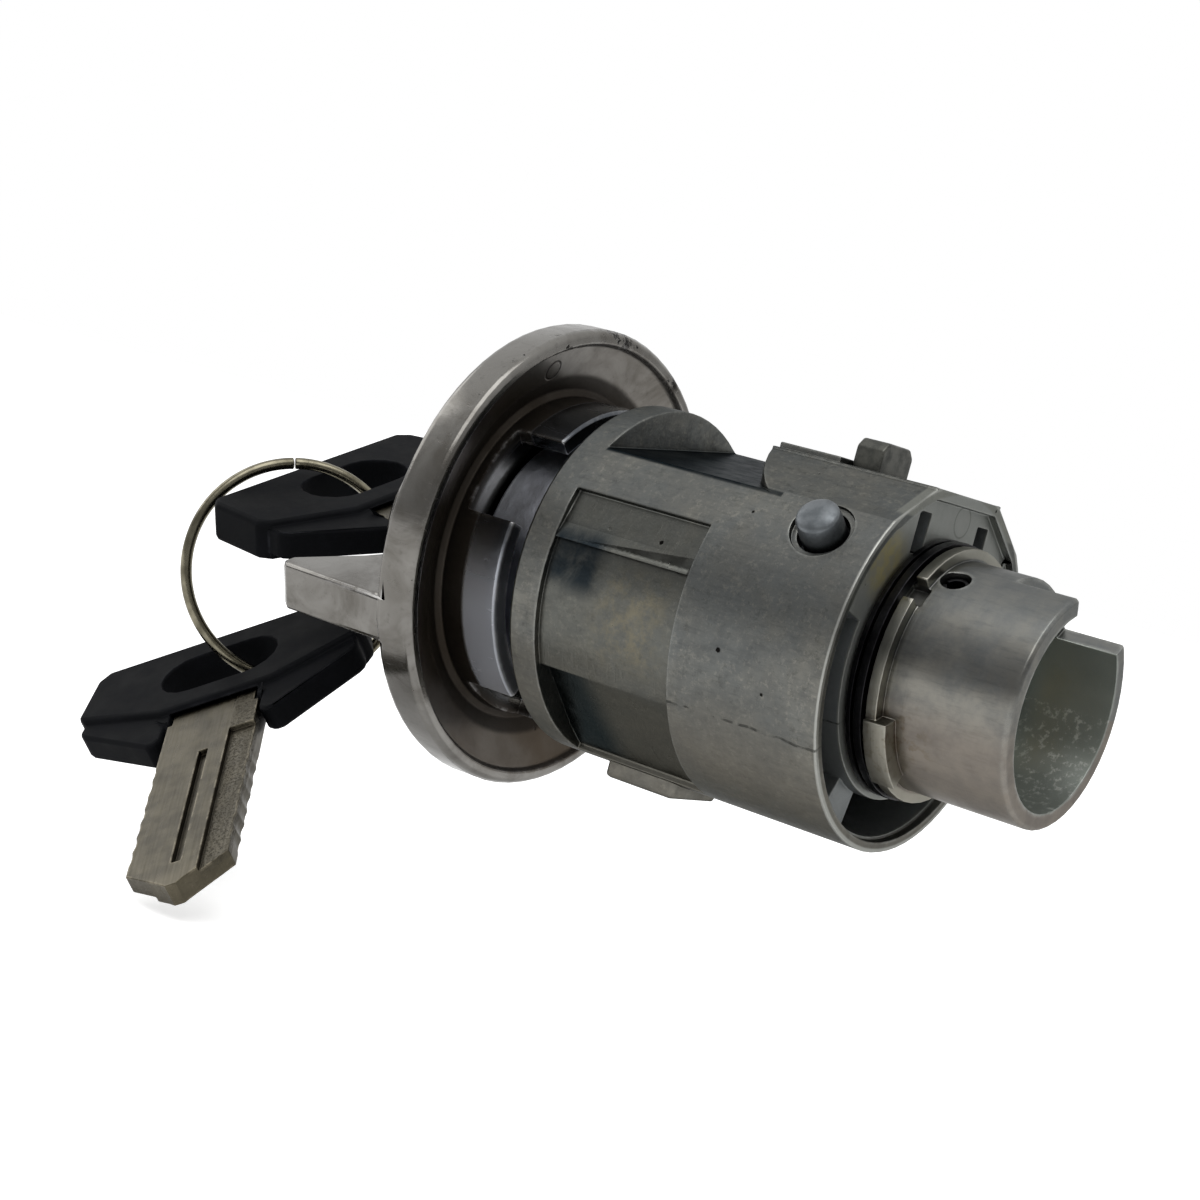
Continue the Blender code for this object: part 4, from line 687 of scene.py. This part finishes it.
def flattened_tip(mesh):
    """The plunger's end, domed less than its cut profile."""
    outward = Vector(PLUNGER_OUTWARD).normalized()
    for vertex in mesh.vertices:
        rise = vertex.co.dot(outward) - PLUNGER_DOME_FOOT
        if rise > 0.0:
            share = min(rise / PLUNGER_DOME, 1.0)
            vertex.co += outward * PLUNGER_DOME * (share ** PLUNGER_FLATNESS - share)


def fitted(piece, node, body):
    """Puts a finished piece in its node's place, on its body."""
    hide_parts(node)
    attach(piece, body)


def dressed(name, node, material, body, width, reshape=None):
    """The finished skin of a node: its merged copy with rounded edges, in the node's place."""
    piece = made_piece(name, merged_copy(name, node), material)
    if reshape:
        reshape(piece.data)
    softened(piece, width)
    fitted(piece, node, body)


def ring_tree(material):
    """Node tree of the key ring: an open circle of wire with square-cut ends."""
    tree = bpy.data.node_groups.new("wire_ring", "GeometryNodeTree")
    for name in ("Ring radius", "Wire radius", "Butt gap"):
        tree.interface.new_socket(name, in_out="INPUT", socket_type="NodeSocketFloat")
    tree.interface.new_socket("Geometry", in_out="OUTPUT", socket_type="NodeSocketGeometry")
    nodes, links = tree.nodes, tree.links
    sizes = nodes.new("NodeGroupInput").outputs
    arc = nodes.new("GeometryNodeCurveArc")
    arc.inputs["Resolution"].default_value = RING_STEPS
    links.new(sizes["Ring radius"], arc.inputs["Radius"])
    half = nodes.new("ShaderNodeMath")
    half.operation = "DIVIDE"
    links.new(sizes["Butt gap"], half.inputs[0])
    half.inputs[1].default_value = 2.0
    links.new(half.outputs[0], arc.inputs["Start Angle"])
    sweep = nodes.new("ShaderNodeMath")
    sweep.operation = "SUBTRACT"
    sweep.inputs[0].default_value = 2 * pi
    links.new(sizes["Butt gap"], sweep.inputs[1])
    links.new(sweep.outputs[0], arc.inputs["Sweep Angle"])
    section = nodes.new("GeometryNodeCurvePrimitiveCircle")
    section.inputs["Resolution"].default_value = WIRE_STEPS
    links.new(sizes["Wire radius"], section.inputs["Radius"])
    tube = nodes.new("GeometryNodeCurveToMesh")
    tube.inputs["Fill Caps"].default_value = True
    links.new(arc.outputs["Curve"], tube.inputs["Curve"])
    links.new(section.outputs["Curve"], tube.inputs["Profile Curve"])
    real = nodes.new("GeometryNodeRealizeInstances")
    links.new(tube.outputs["Mesh"], real.inputs[0])
    paint = nodes.new("GeometryNodeSetMaterial")
    paint.inputs["Material"].default_value = material
    links.new(real.outputs[0], paint.inputs["Geometry"])
    links.new(paint.outputs[0], nodes.new("NodeGroupOutput").inputs[0])
    return tree


def grown(name, tree, sizes):
    """The plain mesh that a node tree makes from its named sizes."""
    holder = bpy.data.objects.new(name, bpy.data.meshes.new(name))
    bpy.context.scene.collection.objects.link(holder)
    modifier = holder.modifiers.new("grow", "NODES")
    modifier.node_group = tree
    for item in tree.interface.items_tree:
        if item.in_out == "INPUT" and item.name in sizes:
            modifier[item.identifier] = sizes[item.name]
    mesh = bpy.data.meshes.new_from_object(holder.evaluated_get(bpy.context.evaluated_depsgraph_get()))
    bpy.data.objects.remove(holder, do_unlink=True)
    return mesh


def key_ring(material):
    """The wire ring, turned into its place with the butt gap towards RING_BUTT."""
    mesh = grown("key_ring_wire", ring_tree(material),
                 {"Ring radius": RING_RADIUS, "Wire radius": RING_WIRE, "Butt gap": RING_BUTT_GAP})
    normal = Vector(RING_NORMAL).normalized()
    butt = Vector(RING_BUTT)
    butt = (butt - normal * butt.dot(normal)).normalized()
    side = normal.cross(butt)
    mesh.transform(Matrix.Translation(RING_CENTRE) @ Matrix((butt, side, normal)).transposed().to_4x4())
    ring = made_piece("key_ring_wire", mesh, material)
    softened(ring, WIRE_ROUND, WIRE_ROUND_FROM)
    fitted(ring, "key_ring", "ring")


def camera():
    data = bpy.data.cameras.new("camera")
    data.lens = CAMERA_LENS
    data.sensor_width = CAMERA_SENSOR
    data.clip_start = 0.005
    data.clip_end = 10.0
    made = bpy.data.objects.new("camera", data)
    made.matrix_world = Matrix.Translation(CAMERA_PLACE) @ Matrix(CAMERA_AXES).to_4x4()
    bpy.context.scene.collection.objects.link(made)
    bpy.context.scene.camera = made


def lamp(name, place, aim, size, power):
    """A soft rectangular lamp at a place, aimed at a point."""
    data = bpy.data.lights.new(name, "AREA")
    data.shape = "RECTANGLE"
    data.size, data.size_y = size
    data.energy = power
    made = bpy.data.objects.new(name, data)
    made.location = place
    made.rotation_euler = (Vector(aim) - Vector(place)).to_track_quat("-Z", "Y").to_euler()
    bpy.context.scene.collection.objects.link(made)


def seen_by_eye(nodes, links):
    """1 where the camera sees a surface, also through clear things, 0 where light or metal does."""
    path = nodes.new("ShaderNodeLightPath")
    seen = nodes.new("ShaderNodeMath")
    seen.operation = "MAXIMUM"
    links.new(path.outputs["Is Camera Ray"], seen.inputs[0])
    links.new(path.outputs["Is Transmission Ray"], seen.inputs[1])
    return path, seen.outputs[0]


def floor():
    """Pale floor that shows white to the eye and in the metal, and keeps the shadow."""
    mesh = bpy.data.meshes.new("floor")
    work = bmesh.new()
    bmesh.ops.create_grid(work, x_segments=1, y_segments=1, size=FLOOR_SIZE)
    work.to_mesh(mesh)
    work.free()
    mesh.transform(Matrix.Translation((0.0, 0.0, FLOOR_LEVEL)))
    material = bpy.data.materials.new("pale_floor")
    material.use_nodes = True
    nodes, links = material.node_tree.nodes, material.node_tree.links
    shader = nodes["Principled BSDF"]
    shader.inputs["Base Color"].default_value = FLOOR_COLOUR
    shader.inputs["Roughness"].default_value = 0.9
    shader.inputs["Emission Color"].default_value = WHITE
    path, seen = seen_by_eye(nodes, links)
    glossed = nodes.new("ShaderNodeMath")
    glossed.operation = "MULTIPLY_ADD"
    links.new(path.outputs["Is Glossy Ray"], glossed.inputs[0])
    glossed.inputs[1].default_value = FLOOR_IN_METAL
    lifted = nodes.new("ShaderNodeMath")
    lifted.operation = "MULTIPLY"
    links.new(seen, lifted.inputs[0])
    lifted.inputs[1].default_value = FLOOR_LIFT
    links.new(lifted.outputs[0], glossed.inputs[2])
    links.new(glossed.outputs[0], shader.inputs["Emission Strength"])
    ground = made_piece("floor", mesh, material)


def world():
    """White to the eye. The metal sees that white behind the object and a darker room in front of it."""
    made = bpy.data.worlds.new("studio")
    made.use_nodes = True
    bpy.context.scene.world = made
    nodes, links = made.node_tree.nodes, made.node_tree.links
    direction = nodes.new("ShaderNodeTexCoord").outputs["Generated"]
    lean = nodes.new("ShaderNodeVectorMath")
    lean.operation = "DOT_PRODUCT"
    links.new(direction, lean.inputs[0])
    lean.inputs[1].default_value = Vector(ROOM_BRIGHT_SIDE).normalized()
    grade = nodes.new("ShaderNodeMapRange")
    grade.interpolation_type = "SMOOTHSTEP"
    links.new(lean.outputs["Value"], grade.inputs["Value"])
    for name, value in (("From Min", ROOM_DARK_LEAN), ("From Max", ROOM_LIGHT_LEAN),
                        ("To Min", ROOM_DARK), ("To Max", ROOM_LIGHT)):
        grade.inputs[name].default_value = value
    strength = nodes.new("ShaderNodeMix")
    links.new(seen_by_eye(nodes, links)[1], strength.inputs[0])
    links.new(grade.outputs[0], strength.inputs[2])
    strength.inputs[3].default_value = 1.0
    background = nodes["Background"]
    background.inputs["Color"].default_value = WHITE
    links.new(strength.outputs[0], background.inputs["Strength"])


def paint(node, material):
    """A node whose own shape is right keeps it and takes a finish."""
    data = frame["nodes"][node].data
    data.materials.clear()
    data.materials.append(material)


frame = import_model()
bpy.context.scene.view_settings.view_transform = "Standard"
camera()
world()
floor()
lamp("soft_above", *SOFT_ABOVE)
lamp("soft_left", *SOFT_LEFT)

rotor_turn = (ROTOR_TURN, 0.0, 0.0)
spare_turn = tuple((Matrix.Rotation(ROTOR_TURN, 3, "X") @ Euler(SPARE_TURN).to_matrix()).to_euler())
zinc = zinc_casting()
plating = bezel_plating()
sleeve = turned_sleeve()
dark_steel = plain_steel("oiled_steel", tone(52, 52, 54), tone(30, 30, 32), 0.36)
bright_steel = plain_steel("plunger_steel", tone(112, 116, 119), tone(92, 96, 99), 0.46)
bolt_zinc = plain_steel("bolt_zinc", tone(92, 92, 87), tone(68, 69, 66), 0.42)
brass = machined_brass()
wire = wire_plating()

dressed("housing_casting", "housing", zinc, "housing", CASTING_ROUND)
dressed("bezel_knob_plated", "bezel_knob", plating, "rotor", KNOB_ROUND)
dressed("drive_sleeve_turned", "drive_sleeve", sleeve, "rotor", TURNED_ROUND)
dressed("plunger_pin", "retaining_plunger", bright_steel, "plunger", TURNED_ROUND,
        reshape=flattened_tip)
dressed("latch_bolt_block", "latch_bolt", bolt_zinc, "latch", BOLT_ROUND)
dressed("cross_pin_rolled", "cross_pin", dark_steel, "rotor", THIN_ROUND)
dressed("thrust_washer_ring", "thrust_washer", dark_steel, "housing", SMALL_ROUND)
dressed("wave_washer_ring", "wave_washer", dark_steel, "housing", THIN_ROUND)
dressed("plug_turned", "plug", brass, "rotor", SMALL_ROUND)
dressed("face_cap_plated", "face_cap", plating, "rotor", SMALL_ROUND)
dressed("blade_in_lock", "key_blade", nickel_blade("nickel_blade", KEY_SEAT, rotor_turn), "key",
        TURNED_ROUND, reshape=lambda mesh: worn_notches(mesh, KEY_SEAT, rotor_turn))
dressed("head_in_lock", "key_head", black_moulding("black_moulding", KEY_SEAT, rotor_turn), "key",
        HEAD_ROUND)
dressed("spare_blade", "spare_key_blade", nickel_blade("nickel_blade_spare", SPARE_SEAT, spare_turn),
        "spare_key", TURNED_ROUND, reshape=lambda mesh: worn_notches(mesh, SPARE_SEAT, spare_turn))
dressed("spare_head", "spare_key_head", black_moulding("black_moulding_spare", SPARE_SEAT, spare_turn),
        "spare_key", HEAD_ROUND)
key_ring(wire)
for number in range(1, 8):
    paint("wafer_" + str(number), brass)
    paint("wafer_spring_" + str(number), dark_steel)
paint("plunger_spring", dark_steel)
paint("latch_spring", dark_steel)
